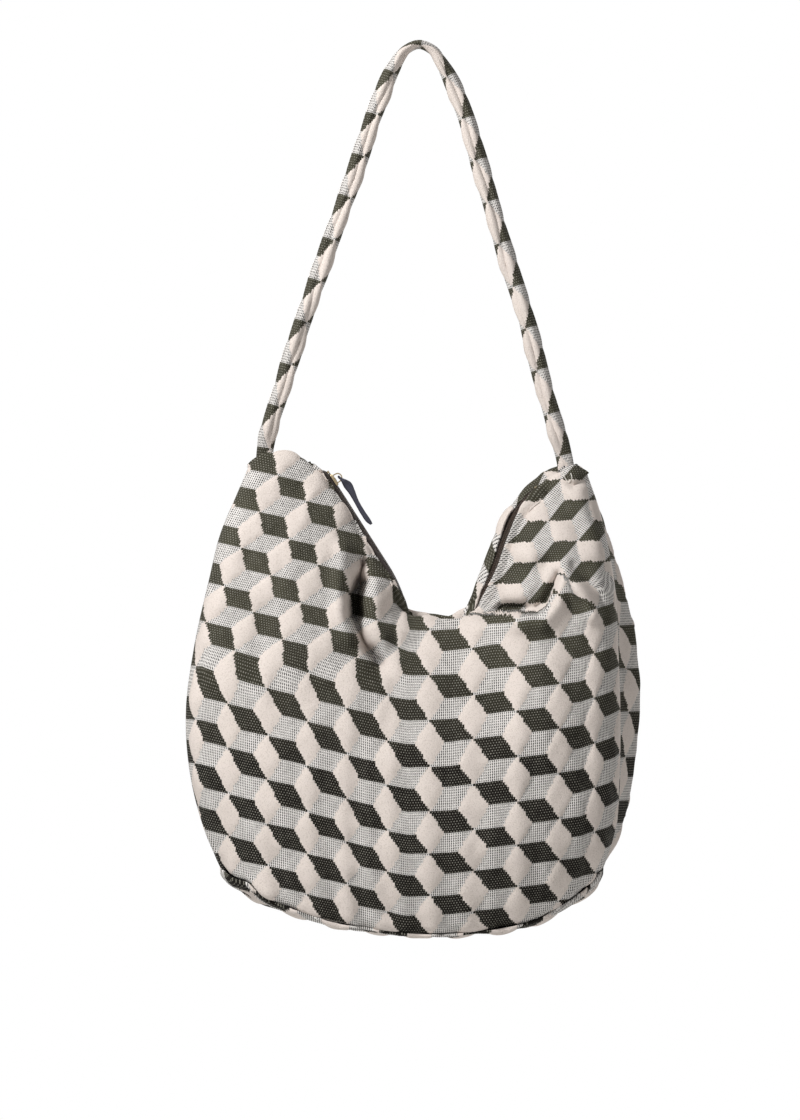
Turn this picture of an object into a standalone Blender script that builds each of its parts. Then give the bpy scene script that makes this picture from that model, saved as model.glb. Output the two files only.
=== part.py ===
"""A slouchy hobo handbag of tumbling-block cloth, hanging by its strap.

Metres, +Z up, the front faces -Y. The origin is on the underside of the strap,
where it passes over what it hangs from.
"""
import math

import bmesh
import bpy
import numpy as np
from mathutils import Matrix, Vector

# Driving sizes
BODY_WIDTH = 0.402
BODY_HEIGHT = 0.4225
BODY_DEPTH = 0.120
STRAP_DROP = 0.360
CLOTH = 0.0022
SEAM_GAP = 0.0003
BELLY = 0.014
EDGE_ROUND = 0.015
SIDE_BULGE = 0.040
SIDE_BULGE_SHARE = 0.12
END_FULLNESS = 2.6
ROLL_REACH = 0.36
BASE_SAG = 0.004
BASE_GAP = 0.0006
BASE_CORNER_SAG = 0.009
PUCKER = 0.0012
PUCKER_COUNT = 15

STRAP_LEG_HALF = 0.0074
STRAP_LEG_DEPTH = 0.0100
STRAP_TOP_HALF = 0.0036
STRAP_TOP_DEPTH = 0.0150
STRAP_FOOT_DEPTH = 0.0036
STRAP_GROOVE = 0.34
# Shares of the strap's length: where its flat end stops, and over how much it swells
STRAP_FOOT_END = 0.046
STRAP_FOOT_BLEND = 0.026
STRAP_SLOT_CLEARANCE = 0.0006

TAPE_THICK = 0.0006
TAPE_TUCK = 0.0012
TAPE_COVER_GAP = 0.0006
TAPE_END = 0.006
RIDGE_RADIUS = 0.006
CHAIN_HALF = 0.0024
CHAIN_HEIGHT = 0.0016
TOOTH_PITCH = 0.005
TOOTH_REACH = 0.0007

SLIDER_LENGTH = 0.011
SLIDER_CLEARANCE = 0.0006
SLIDER_WALL = 0.0011
SLIDER_FROM_START = 0.0075
BAIL_HEIGHT = 0.0056
BAIL_WIDTH = 0.0024
BAIL_BAR = 0.0011
BAIL_RADIUS = 0.0033
BAIL_SUNK = 0.0006
PIN_HEIGHT = 0.00308
SLIDER_CHAMFER = 0.0003
TOP_STOP_LENGTH = 0.0022
BOTTOM_STOP_LENGTH = 0.0026
PULL_LENGTH = 0.051
PULL_HEAD = 0.0072
PULL_TAIL = 0.0044
PULL_THICK = 0.0032
PULL_PIN = 0.0011
PULL_WINDOW_CLEARANCE = 0.0005

# Mesh fineness
COLUMNS = 44
BODY_ROWS = 20
ROLL_ROWS = 5
BASE_ROWS = 8
STRAP_SIDES = 14
STRAP_RINGS = 58
END_CROWDING = 0.5
SMOOTHING = 2

# Outlines are drawn on a grid: right, down, and depth as a share of the half depth
GRID_WIDTH = 453.0
GRID_HEIGHT = 476.5
GRID_DROP = 405.5
GRID_ORIGIN = 419.0
GRID_HORN_TOP = 454.5

LEFT_SEAM = [(221, 866, 0.04), (203, 822, 0.05), (191, 772, 0.06), (187, 713, 0.06), (195, 648, 0.06),
             (210, 580, 0.05), (222, 532, 0.04), (238, 494, 0.02), (250, 466, 0.0)]
RIGHT_SEAM = [(602, 866, -0.05), (613, 830, -0.2), (617, 780, -0.32), (618, 720, -0.36), (616, 650, -0.34),
              (613, 589, -0.27), (606, 545, -0.2), (598, 510, -0.1), (586, 474, 0.0)]
FRONT_SEAM = [(221, 866), (234, 874), (249, 878), (262, 890), (292, 903), (330, 915), (365, 922), (400, 926),
              (435, 928), (470, 926), (505, 921), (535, 914), (556, 902), (580, 887), (602, 866)]
BACK_SEAM = [(221, 866), (242, 884), (292, 903), (350, 918), (420, 926), (490, 920), (550, 904), (586, 885),
             (602, 866)]
ZIP_LINE = [(250, 466, 0), (260, 457.5, 0), (285, 455.5, 0), (303, 461, 0), (317, 469, 0), (327.7, 473.5, 0),
            (387.7, 567.5, 0), (399, 590, 0), (408, 620, 0.03), (422, 646, 0.05), (440, 657, 0.05),
            (458, 650, 0.03), (473, 624, -0.04), (485, 592, -0.13), (496, 564, -0.2), (505, 537, -0.2),
            (519, 508, -0.17), (536, 490, -0.1), (553, 478, -0.03), (571, 466, 0), (586, 474, 0)]
FRONT_CREST = [(250, 466, 0), (260, 457.5, -0.16), (285, 455.5, -0.17), (303, 461, -0.16), (316, 470, -0.15),
               (322, 477.2, -0.17), (382, 571.2, -0.17), (391, 590, -0.18), (398, 608, -0.2),
               (411, 616.5, -0.22), (430, 618, -0.24), (451, 620, -0.24), (470, 616, -0.24),
               (493, 603, -0.24), (505, 571, -0.27), (514, 543, -0.27), (527, 516, -0.25), (544, 500, -0.21),
               (555, 480, -0.16), (571, 467, -0.16), (586, 474, 0)]
BACK_CREST = [(250, 466, 0), (260, 457.5, 0.16), (285, 455.5, 0.17), (303, 461, 0.16), (316, 470, 0.15),
              (322, 477.2, 0.17), (382, 571.2, 0.17), (394, 588, 0.16), (402, 605, 0.17), (416, 613, 0.2),
              (433, 614, 0.2), (450, 617, 0.2), (465, 610, 0.14), (472, 596, 0.05), (484, 565, 0.03),
              (496, 538, 0.03), (512, 508, 0.04), (529, 485, 0.08), (547, 471, 0.14), (571, 465, 0.16),
              (586, 474, 0)]
STRAP_ROUTE = [(264, 470), (265, 452), (283, 386), (300.5, 330), (328, 250), (356, 171), (380.5, 99),
               (394, 68), (405, 51), (419, 45), (433, 51), (444, 68), (459, 100), (482, 174), (507, 260),
               (526, 319), (541, 378), (556, 430), (564, 457), (567, 475)]
LEFT_CREASE = [(362, 556), (356, 584), (353, 612), (362, 640), (380, 664)]
RIGHT_RIDGE = [(478, 626), (504, 620), (536, 622), (553, 604), (561, 574), (574, 584), (590, 612)]
RIGHT_CREASE = [(486, 606), (506, 602), (530, 602), (540, 588), (546, 566)]
HORN_DART = [(286, 452), (292, 466), (297, 482)]
FOLDS = [(LEFT_CREASE, 0.009, 0.0085), (RIGHT_RIDGE, -0.0065, 0.009), (RIGHT_CREASE, 0.007, 0.008),
         (HORN_DART, 0.0025, 0.005)]

# Which stations of the lines above the zip runs between, and its turn, ridge and edge there
TAPE_START = 4
STRAIGHT_START = 5
STRAIGHT_END = 6
ZIP_STOP = 17
ZIP_TURN = [0, 0, 0, 0, 0, 0, 0, 0, 0, 0, 0, 0, 0.3, 0.7, 0.95, 0.95, 0.8, 0.5, 0.2, 0, 0]
ZIP_RIDGE = [0, 0, 0, 0.4, 0.9, 1, 1, 0.5, -0.3, -0.5, -0.5, -0.5, -0.2, 0.2, 0.4, 0.4, 0.3, 0.2, 0.1, 0, 0]
ZIP_EDGE_WIDE = 0.0075
ZIP_EDGE_NARROW = 0.0036
ZIP_EDGE = [0, 0, 0, 0.3, 0.8, 1, 1, 0.8, 0.3, 0, 0, 0, 0, 0, 0, 0, 0, 0, 0, 0, 0]
ZIP_OPEN = [0, 0, 0, 0.5, 1, 1, 1, 1, 1, 1, 1, 1, 1, 1, 1, 1, 1, 1, 0.3, 0, 0]

HALF_DEPTH = BODY_DEPTH / 2
Y_AXIS = np.array([0.0, 1.0, 0.0])
COLOURS = {
    "cloth": ((0.42, 0.38, 0.33), 0.9),
    "tape": ((0.10, 0.055, 0.03), 0.85),
    "teeth": ((0.08, 0.05, 0.035), 0.5),
    "metal": ((0.30, 0.24, 0.15), 0.35),
    "leather": ((0.010, 0.011, 0.018), 0.5),
}


def clear_scene():
    for item in list(bpy.data.objects):
        bpy.data.objects.remove(item, do_unlink=True)


def material(name):
    colour, roughness = COLOURS[name]
    made = bpy.data.materials.get(name) or bpy.data.materials.new(name)
    made.use_nodes = True
    shader = made.node_tree.nodes["Principled BSDF"]
    shader.inputs["Base Color"].default_value = (*colour, 1.0)
    shader.inputs["Roughness"].default_value = roughness
    shader.inputs["Metallic"].default_value = 1.0 if name == "metal" else 0.0
    return made


def place(points):
    """Grid points to metres."""
    grid = np.array([(*p, 0.0) if len(p) == 2 else p for p in points], float)
    x = (grid[:, 0] - GRID_ORIGIN) * BODY_WIDTH / GRID_WIDTH
    below = grid[:, 1] - GRID_HORN_TOP
    scale = np.where(below > 0, BODY_HEIGHT / GRID_HEIGHT, STRAP_DROP / GRID_DROP)
    return np.column_stack([x, grid[:, 2] * HALF_DEPTH, -STRAP_DROP - below * scale])


def chord_knots(points):
    steps = np.linalg.norm(np.diff(points, axis=0), axis=1)
    length = np.concatenate([[0.0], np.cumsum(steps)])
    return length / length[-1]


def spline(points, at, knots=None, straight=None):
    """A smooth curve through the points, read at shares of its length."""
    points = np.asarray(points, float)
    knots = chord_knots(points) if knots is None else knots
    tangents = np.gradient(points, knots, axis=0)
    if straight is not None:
        run = (points[straight + 1] - points[straight]) / (knots[straight + 1] - knots[straight])
        tangents[straight] = run
        tangents[straight + 1] = run
    at = np.atleast_1d(at)
    low = np.clip(np.searchsorted(knots, at, side="right") - 1, 0, len(knots) - 2)
    span = (knots[low + 1] - knots[low])[:, None]
    t = ((at - knots[low]) / span[:, 0])[:, None]
    return ((2 * t ** 3 - 3 * t ** 2 + 1) * points[low] + (t ** 3 - 2 * t ** 2 + t) * span * tangents[low]
            + (3 * t ** 2 - 2 * t ** 3) * points[low + 1] + (t ** 3 - t ** 2) * span * tangents[low + 1])


def unit(vectors):
    length = np.linalg.norm(vectors, axis=-1, keepdims=True)
    return vectors / np.maximum(length, 1e-9)


STATION_KNOTS = chord_knots(place([p[:2] for p in ZIP_LINE]))


def column_shares():
    """Shares across the bag, closer together at the side seams, with the straight run's ends among them."""
    even = np.linspace(0.0, 1.0, COLUMNS + 1)
    shares = even - END_CROWDING * np.sin(2 * math.pi * even) / (2 * math.pi)
    for station in (TAPE_START, STRAIGHT_START, STRAIGHT_END, ZIP_STOP):
        shares[np.argmin(abs(shares - STATION_KNOTS[station]))] = STATION_KNOTS[station]
    return shares


def along(values, shares):
    return np.interp(shares, STATION_KNOTS, values)


def end_taper(shares):
    """How full the bag is from front to back, from nothing at the side seams to all of it."""
    return np.maximum(1.0 - np.abs(2 * shares - 1) ** END_FULLNESS, 0.0) ** (1 / END_FULLNESS)


def fold_depth(x, z):
    """How far the big folds push the front cloth inwards at places seen from the front."""
    depth = np.zeros_like(x)
    for points, amount, width in FOLDS:
        line = place(points)[:, [0, 2]]
        nearest = np.full(x.shape, np.inf)
        for start, end in zip(line[:-1], line[1:]):
            run = end - start
            t = np.clip(((x - start[0]) * run[0] + (z - start[1]) * run[1]) / run.dot(run), 0, 1)
            nearest = np.minimum(nearest, np.hypot(x - start[0] - t * run[0], z - start[1] - t * run[1]))
        depth += amount * np.exp(-(nearest / width) ** 2)
    return depth


def zip_frame(shares):
    """The zip's middle line, its direction, its width (to the back) and its outward normal."""
    coarse = column_shares()
    middle = spline(place(ZIP_LINE), coarse, STATION_KNOTS, STRAIGHT_START)
    flat = np.gradient(middle, coarse, axis=0) * np.array([1.0, 0.0, 1.0])
    low, high = (STATION_KNOTS[s] for s in (STRAIGHT_START, STRAIGHT_END))
    line = place(ZIP_LINE)
    inside = (coarse >= low - 1e-9) & (coarse <= high + 1e-9)
    flat[inside] = line[STRAIGHT_END] - line[STRAIGHT_START]
    ahead = unit(flat)
    outward = np.column_stack([-ahead[:, 2], 0 * ahead[:, 0], ahead[:, 0]])
    turn = along(ZIP_TURN, coarse)[:, None]
    width = np.cos(turn) * Y_AXIS + np.sin(turn) * outward
    normal = np.cos(turn) * outward - np.sin(turn) * Y_AXIS

    def read(field):
        return np.column_stack([np.interp(shares, coarse, field[:, k]) for k in range(3)])

    return read(middle), unit(read(ahead)), unit(read(width)), unit(read(normal))


def zip_point(shares, across, lift):
    """A point beside the zip: distance across it over the ridge that it lies on, and height above it."""
    middle, _, width, normal = zip_frame(shares)
    bend = along(ZIP_RIDGE, shares) / RIDGE_RADIUS
    angle = across * bend
    small = np.abs(bend) < 1e-6
    safe = np.where(small, 1.0, bend)
    out = np.where(small, across, np.sin(angle) / safe)
    drop = np.where(small, 0.0, (1 - np.cos(angle)) / safe)
    up = (np.cos(angle)[:, None] * normal + np.sin(angle)[:, None] * width)
    return middle + out[:, None] * width - drop[:, None] * normal + np.asarray(lift).reshape(-1, 1) * up, up


def strap_feet():
    """Where the strap enters the two horns."""
    route = place(STRAP_ROUTE)
    return route[0], route[-1]


def cloth_edge(shares, x):
    """How far each panel's top edge stays from the zip's middle, with a slot for each strap end."""
    edge = along(ZIP_EDGE, shares)
    zipped = along(ZIP_OPEN, shares) * (ZIP_EDGE_NARROW + edge * (ZIP_EDGE_WIDE - ZIP_EDGE_NARROW))
    slot = np.zeros_like(x)
    for foot in strap_feet():
        reach = (x - foot[0]) / (STRAP_LEG_HALF + 4 * STRAP_SLOT_CLEARANCE)
        slot = np.maximum(slot, (STRAP_FOOT_DEPTH + STRAP_SLOT_CLEARANCE) * np.exp(-reach ** 8))
    return np.maximum(np.maximum(zipped, slot), SEAM_GAP / 2)


def base_seam(side, shares):
    """The seam between a panel and the base, with its gathers."""
    seam = spline(place(FRONT_SEAM if side < 0 else BACK_SEAM), shares)
    gathers = PUCKER * np.sin(2 * math.pi * PUCKER_COUNT * shares) * np.sin(math.pi * shares)
    corner_depth = np.interp(shares, [0, 1], [LEFT_SEAM[0][2], RIGHT_SEAM[0][2]]) * HALF_DEPTH
    seam[:, 1] = corner_depth + side * (HALF_DEPTH * end_taper(shares) + gathers)
    return seam


def seam_outward(side, shares):
    """The level direction out of the bag along the base seam."""
    fine = np.linspace(0, 1, 401)
    run = np.gradient(base_seam(side, fine), fine, axis=0)
    out = unit(np.column_stack([-side * run[:, 1], side * run[:, 0], 0 * fine]))
    level = np.column_stack([np.interp(shares, fine, out[:, k]) for k in range(3)])
    level[0] = (-1.0, 0.0, 0.0)
    level[-1] = (1.0, 0.0, 0.0)
    return unit(level)


def even_out(normals):
    """Outward directions that turn gradually, with those along the edges kept."""
    for _ in range(SMOOTHING):
        inner = normals[:-2, 1:-1] + normals[2:, 1:-1] + normals[1:-1, :-2] + normals[1:-1, 2:]
        normals[1:-1, 1:-1] = unit(2 * normals[1:-1, 1:-1] + inner)
    return normals


def panel_surface(side, shares):
    """Middle surface of the front (side -1) or back (side +1) panel, and its outward directions."""
    heights = np.linspace(0.0, 1.0, BODY_ROWS + 1) ** 0.9
    u = shares[:, None, None]
    v = heights[None, :, None]
    offset = np.array([0.0, side * SEAM_GAP / 2, 0.0])
    bottom = base_seam(side, shares)[:, None, :]
    crest = spline(place(FRONT_CREST if side < 0 else BACK_CREST), shares, STATION_KNOTS,
                   STRAIGHT_START)[:, None, :]
    left = spline(place(LEFT_SEAM), heights)[None, :, :]
    right = spline(place(RIGHT_SEAM), heights)[None, :, :]
    ruled = (1 - v) * bottom + v * crest
    ends = (1 - u) * ((1 - v) * bottom[0] + v * crest[0]) + u * ((1 - v) * bottom[-1] + v * crest[-1])
    body = ruled + (1 - u) * left + u * right - ends

    full = end_taper(shares)[:, None]
    flat_v = heights[None, :]
    rounding = np.sqrt(np.maximum(1 - flat_v ** 6, 0)) * (1 - (1 - flat_v) ** 3)
    bulge = full * (BELLY * 4 * flat_v * (1 - flat_v) + EDGE_ROUND * rounding)
    body[:, :, 1] += side * bulge
    if side < 0:
        settle = np.minimum(1.0, 6 * (1 - flat_v)) * np.minimum(1.0, 8 * full)
        body[:, :, 1] += fold_depth(body[:, :, 0], body[:, :, 2]) * settle
    else:
        beyond = np.clip((1 - shares) / SIDE_BULGE_SHARE, 0, 1)[:, None]
        body[:, :, 0] += SIDE_BULGE * np.sin(math.pi * beyond) * np.sin(math.pi * flat_v ** 0.9)
    body += offset

    crest_line = body[:, -1]
    edge_gap = cloth_edge(shares, spline(place(ZIP_LINE), shares, STATION_KNOTS, STRAIGHT_START)[:, 0])
    lift = along(ZIP_OPEN, shares) * (TAPE_THICK / 2 + TAPE_COVER_GAP + CLOTH / 2)
    edge, edge_up = zip_point(shares, side * edge_gap, lift)
    outer_edge, _ = zip_point(shares, side * (edge_gap + CLOTH), lift)
    reach = ROLL_REACH * np.linalg.norm(edge - crest_line, axis=1, keepdims=True)
    lead = crest_line + unit(crest_line - body[:, -2]) * reach
    land = edge + unit(outer_edge - edge) * reach + edge_up * TAPE_COVER_GAP
    rolls = []
    for w in np.linspace(0, 1, ROLL_ROWS + 1)[1:]:
        rolls.append((1 - w) ** 3 * crest_line + 3 * w * (1 - w) ** 2 * lead + 3 * w * w * (1 - w) * land
                     + w ** 3 * edge)
    surface = np.concatenate([body, np.stack(rolls, axis=1)], axis=1)
    surface[0, BODY_ROWS + 1:] = surface[0, BODY_ROWS]
    surface[-1, BODY_ROWS + 1:] = surface[-1, BODY_ROWS]

    along_u = np.gradient(surface, axis=0)
    along_v = np.gradient(surface, axis=1)
    normals = unit(np.cross(along_u, along_v)) * -side
    normals[:, 0] = seam_outward(side, shares)
    normals[:, -1] = edge_up
    normals[0] = (-1.0, 0.0, 0.0)
    normals[-1] = (1.0, 0.0, 0.0)
    return surface, even_out(normals)


def base_surface(shares):
    """Middle surface of the gathered base, hung a seam gap below the two panels."""
    front = base_seam(-1, shares) + np.array([0.0, -SEAM_GAP / 2, 0.0])
    back = base_seam(1, shares) + np.array([0.0, SEAM_GAP / 2, 0.0])
    front[0] = back[0] = (front[0] + back[0]) / 2
    front[-1] = back[-1] = (front[-1] + back[-1]) / 2
    full = end_taper(shares)
    sag = np.sqrt(full) * (BASE_SAG + BASE_CORNER_SAG * np.abs(2 * shares - 1) ** 2)
    rows = []
    for w in np.linspace(0, 1, BASE_ROWS + 1):
        mix = (1 - math.cos(math.pi * w)) / 2
        row = (1 - mix) * front + mix * back
        row[:, 2] -= sag * math.sin(math.pi * w) ** 0.7 + BASE_GAP
        rows.append(row)
    surface = np.stack(rows, axis=1)
    along_u = np.gradient(surface, axis=0)
    along_v = np.gradient(surface, axis=1)
    normals = unit(np.cross(along_v, along_u))
    normals[:, 0] = seam_outward(-1, shares)
    normals[:, -1] = seam_outward(1, shares)
    normals[0] = (-1.0, 0.0, 0.0)
    normals[-1] = (1.0, 0.0, 0.0)
    return surface, even_out(normals)


def finish(name, verts, faces, stuff, smooth=True):
    """One closed object from points and faces, with coincident points joined and faces turned outwards."""
    mesh = bpy.data.meshes.new(name)
    mesh.from_pydata([tuple(v) for v in verts], [], faces)
    work = bmesh.new()
    work.from_mesh(mesh)
    bmesh.ops.remove_doubles(work, verts=work.verts, dist=1e-6)
    bmesh.ops.dissolve_degenerate(work, edges=work.edges, dist=1e-6)
    bmesh.ops.recalc_face_normals(work, faces=work.faces)
    if work.calc_volume(signed=True) < 0:
        bmesh.ops.reverse_faces(work, faces=work.faces)
    work.to_mesh(mesh)
    work.free()
    mesh.materials.append(material(stuff))
    if smooth:
        mesh.shade_smooth()
    item = bpy.data.objects.new(name, mesh)
    bpy.context.scene.collection.objects.link(item)
    return item


def shell(name, top, bottom, stuff):
    """A closed sheet between two grids of points."""
    nu, nv = top.shape[:2]
    verts = np.concatenate([top.reshape(-1, 3), bottom.reshape(-1, 3)])
    faces = []

    def at(i, j, layer):
        return layer * nu * nv + i * nv + j

    for i in range(nu - 1):
        for j in range(nv - 1):
            for layer in (0, 1):
                quad = (at(i, j, layer), at(i + 1, j, layer), at(i + 1, j + 1, layer), at(i, j + 1, layer))
                faces.append(quad if layer == 0 else quad[::-1])
    for i in range(nu - 1):
        for j in (0, nv - 1):
            faces.append((at(i, j, 0), at(i, j, 1), at(i + 1, j, 1), at(i + 1, j, 0)))
    for j in range(nv - 1):
        for i in (0, nu - 1):
            faces.append((at(i, j, 0), at(i, j + 1, 0), at(i, j + 1, 1), at(i, j, 1)))
    return finish(name, verts, faces, stuff)


def tube(name, rings, stuff):
    """A closed solid through rings of points, capped at both ends."""
    count, sides = rings.shape[:2]
    verts = list(rings.reshape(-1, 3))
    faces = [tuple(range(sides)), tuple((count - 1) * sides + k for k in range(sides))[::-1]]
    for i in range(count - 1):
        for k in range(sides):
            after = (k + 1) % sides
            faces.append((i * sides + k, (i + 1) * sides + k, (i + 1) * sides + after, i * sides + after))
    return finish(name, verts, faces, stuff)


def make_panel(name, side):
    surface, normals = panel_surface(side, column_shares())
    return shell(name, surface + normals * CLOTH / 2, surface - normals * CLOTH / 2, "cloth")


def make_base():
    surface, normals = base_surface(column_shares())
    return shell("base_panel", surface + normals * CLOTH / 2, surface - normals * CLOTH / 2, "cloth")


def make_strap():
    """The strap: a strip folded lengthwise into a soft tube, flat where it bends over its support."""
    share = np.linspace(0, 1, STRAP_RINGS + 1)
    middle = spline(place(STRAP_ROUTE), share)
    middle[:, 1] = 0.0
    middle[:, 2] += STRAP_TOP_HALF - middle[:, 2].max()
    ahead = unit(np.gradient(middle, share, axis=0))
    across = np.column_stack([-ahead[:, 2], 0 * share, ahead[:, 0]])
    top = np.exp(-((share - 0.5) / 0.045) ** 2)
    foot = np.clip((STRAP_FOOT_END - np.minimum(share, 1 - share)) / STRAP_FOOT_BLEND, 0, 1)
    foot = foot * foot * (3 - 2 * foot)
    half = STRAP_LEG_HALF + top * (STRAP_TOP_HALF - STRAP_LEG_HALF)
    deep = STRAP_LEG_DEPTH + top * (STRAP_TOP_DEPTH - STRAP_LEG_DEPTH)
    deep = deep + foot * (STRAP_FOOT_DEPTH - deep)
    groove = STRAP_GROOVE * (1 - 0.6 * top) * (1 - foot)
    rings = []
    for i in range(len(share)):
        ring = []
        for k in range(STRAP_SIDES):
            angle = 2 * math.pi * k / STRAP_SIDES
            away = math.atan2(math.sin(angle + 1.75), math.cos(angle + 1.75))
            size = 1 - groove[i] * math.exp(-(away / 0.5) ** 2)
            ring.append(middle[i] + across[i] * half[i] * size * math.cos(angle)
                        + Y_AXIS * deep[i] * size * math.sin(angle))
        rings.append(ring)
    return tube("strap", np.array(rings), "cloth")


def zip_shares(start, end):
    """The bag's own column shares between two shares, with both ends."""
    inner = [s for s in column_shares() if start + 1e-6 < s < end - 1e-6]
    return np.array([start, *inner, end])


def zip_ends():
    """The shares where the chain starts and stops, and where the tapes do."""
    line = place(ZIP_LINE)
    per_metre = (STATION_KNOTS[-1] - STATION_KNOTS[0]) / np.linalg.norm(np.diff(line, axis=0), axis=1).sum()
    start = STATION_KNOTS[STRAIGHT_START]
    stop = STATION_KNOTS[ZIP_STOP]
    return start, stop, start - TAPE_END * per_metre, stop + TAPE_END * per_metre


def make_tape(name, side):
    _, _, tape_start, tape_stop = zip_ends()
    shares = zip_shares(tape_start, tape_stop)
    edge = cloth_edge(shares, np.full(len(shares), 1.0))
    steps = [(0.0, SEAM_GAP), (0.5, 0.0), (1.0, 0.0)]
    rows = [zip_point(shares, side * (share * (edge + TAPE_TUCK) + extra), 0.0) for share, extra in steps]
    surface = np.stack([row[0] for row in rows], axis=1)
    normals = np.stack([row[1] for row in rows], axis=1)
    return shell(name, surface + normals * TAPE_THICK / 2, surface - normals * TAPE_THICK / 2, "tape")


def make_chain(name, side):
    """One row of teeth on its bead: a comb whose zigzag edge meets the other row's."""
    start, stop, _, _ = zip_ends()
    fine = np.linspace(start, stop, 600)
    run = np.concatenate([[0.0], np.cumsum(np.linalg.norm(np.diff(zip_frame(fine)[0], axis=0), axis=1))])
    teeth = int(run[-1] / TOOTH_PITCH)
    where = np.linspace(SLIDER_CLEARANCE, run[-1] - SLIDER_CLEARANCE, 2 * teeth + 1)
    shares = np.interp(where, run, fine)
    zigzag = np.where(np.arange(len(shares)) % 2, TOOTH_REACH, -TOOTH_REACH)
    inner = zigzag + side * SEAM_GAP
    outer = np.full(len(shares), side * CHAIN_HALF)
    low = TAPE_THICK / 2 + SEAM_GAP
    layers = []
    for lift in (low + CHAIN_HEIGHT, low):
        rows = []
        for across in (inner, outer):
            middle, _, width, normal = zip_frame(shares)
            rows.append(middle + across[:, None] * width + lift * normal)
        layers.append(np.stack(rows, axis=1))
    return shell(name, layers[0], layers[1], "teeth")


def zip_block(name, start, length, across, lift, stuff):
    """A small clip on the zip: distances along it from a share, across it and above it."""
    middle, ahead, width, normal = (field[0] for field in zip_frame(np.array([start])))
    rings = [[middle + ahead * s + width * a + normal * n
              for a, n in ((across[0], lift[0]), (across[1], lift[0]), (across[1], lift[1]),
                           (across[0], lift[1]))] for s in (0.0, length)]
    return tube(name, np.array(rings), stuff)


def make_stops():
    start, stop, _, _ = zip_ends()
    low = TAPE_THICK / 2 + SEAM_GAP
    high = low + CHAIN_HEIGHT
    reach = (SEAM_GAP, CHAIN_HALF)
    zip_block("zip_top_stop_front", start, -TOP_STOP_LENGTH, (-reach[1], -reach[0]), (low, high), "metal")
    zip_block("zip_top_stop_back", start, -TOP_STOP_LENGTH, reach, (low, high), "metal")
    zip_block("zip_bottom_stop", stop, BOTTOM_STOP_LENGTH, (-reach[1], reach[1]), (low, high), "metal")


def slider_frame():
    """The slider's rest point on the zip's straight stretch, with its three directions."""
    line = place(ZIP_LINE)
    ahead = unit(line[STRAIGHT_END] - line[STRAIGHT_START])
    outward = np.array([-ahead[2], 0.0, ahead[0]])
    centre = line[STRAIGHT_START] + ahead * SLIDER_FROM_START
    return centre, ahead, Y_AXIS, outward


def slider_floor():
    return TAPE_THICK / 2 + SEAM_GAP + CHAIN_HEIGHT + SLIDER_CLEARANCE


def pull_pivot():
    centre, _, _, outward = slider_frame()
    return centre + outward * (slider_floor() + SLIDER_WALL + PIN_HEIGHT)


def in_slider(points):
    """Slider coordinates (ahead, across, outward) to metres."""
    centre, ahead, across, outward = slider_frame()
    points = np.asarray(points, float)
    return centre + points[..., :1] * ahead + points[..., 1:2] * across + points[..., 2:] * outward


def join(target, tool, operation):
    """Joins or cuts one object with another and keeps the result."""
    change = target.modifiers.new("change", "BOOLEAN")
    change.operation = operation
    change.object = tool
    view = bpy.context.evaluated_depsgraph_get()
    mesh = bpy.data.meshes.new_from_object(target.evaluated_get(view))
    target.modifiers.clear()
    target.data = mesh
    bpy.data.objects.remove(tool, do_unlink=True)


def make_slider():
    inner = CHAIN_HALF + SLIDER_CLEARANCE
    floor = slider_floor()
    top = floor + SLIDER_WALL
    lip = TAPE_THICK / 2 + SEAM_GAP + SLIDER_CLEARANCE
    rings = []
    for share, shoulder in ((-0.5, 0.55), (-0.4, 0.9), (-0.1, 1.25), (0.2, 1.0), (0.42, 0.85), (0.5, 0.6)):
        outer = inner + SLIDER_WALL * shoulder
        crown = floor + SLIDER_WALL * (0.75 + 0.25 * math.cos(2 * math.pi * share))
        profile = [(-outer, lip), (-outer, crown - SLIDER_CHAMFER), (-outer * 0.8, crown), (outer * 0.8, crown),
                   (outer, crown - SLIDER_CHAMFER), (outer, lip), (inner, lip), (inner, floor), (-inner, floor),
                   (-inner, lip)]
        rings.append([(share * SLIDER_LENGTH, a, n) for a, n in profile])
    slider = tube("zip_slider", in_slider(rings), "metal")
    arch = []
    for angle in np.linspace(0, math.pi, 13):
        ring = []
        for bar, wide in ((0, -0.5), (0, 0.5), (1, 0.5), (1, -0.5)):
            radius = BAIL_RADIUS + bar * BAIL_BAR
            height = BAIL_HEIGHT + bar * BAIL_BAR
            ring.append((-radius * math.cos(angle), wide * BAIL_WIDTH,
                         top - BAIL_SUNK + height * math.sin(angle) ** 0.6))
        arch.append(ring)
    bail = tube("bail", in_slider(arch), "metal")
    join(slider, bail, "UNION")
    slider.data.materials.clear()
    slider.data.materials.append(material("metal"))
    return slider


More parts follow.
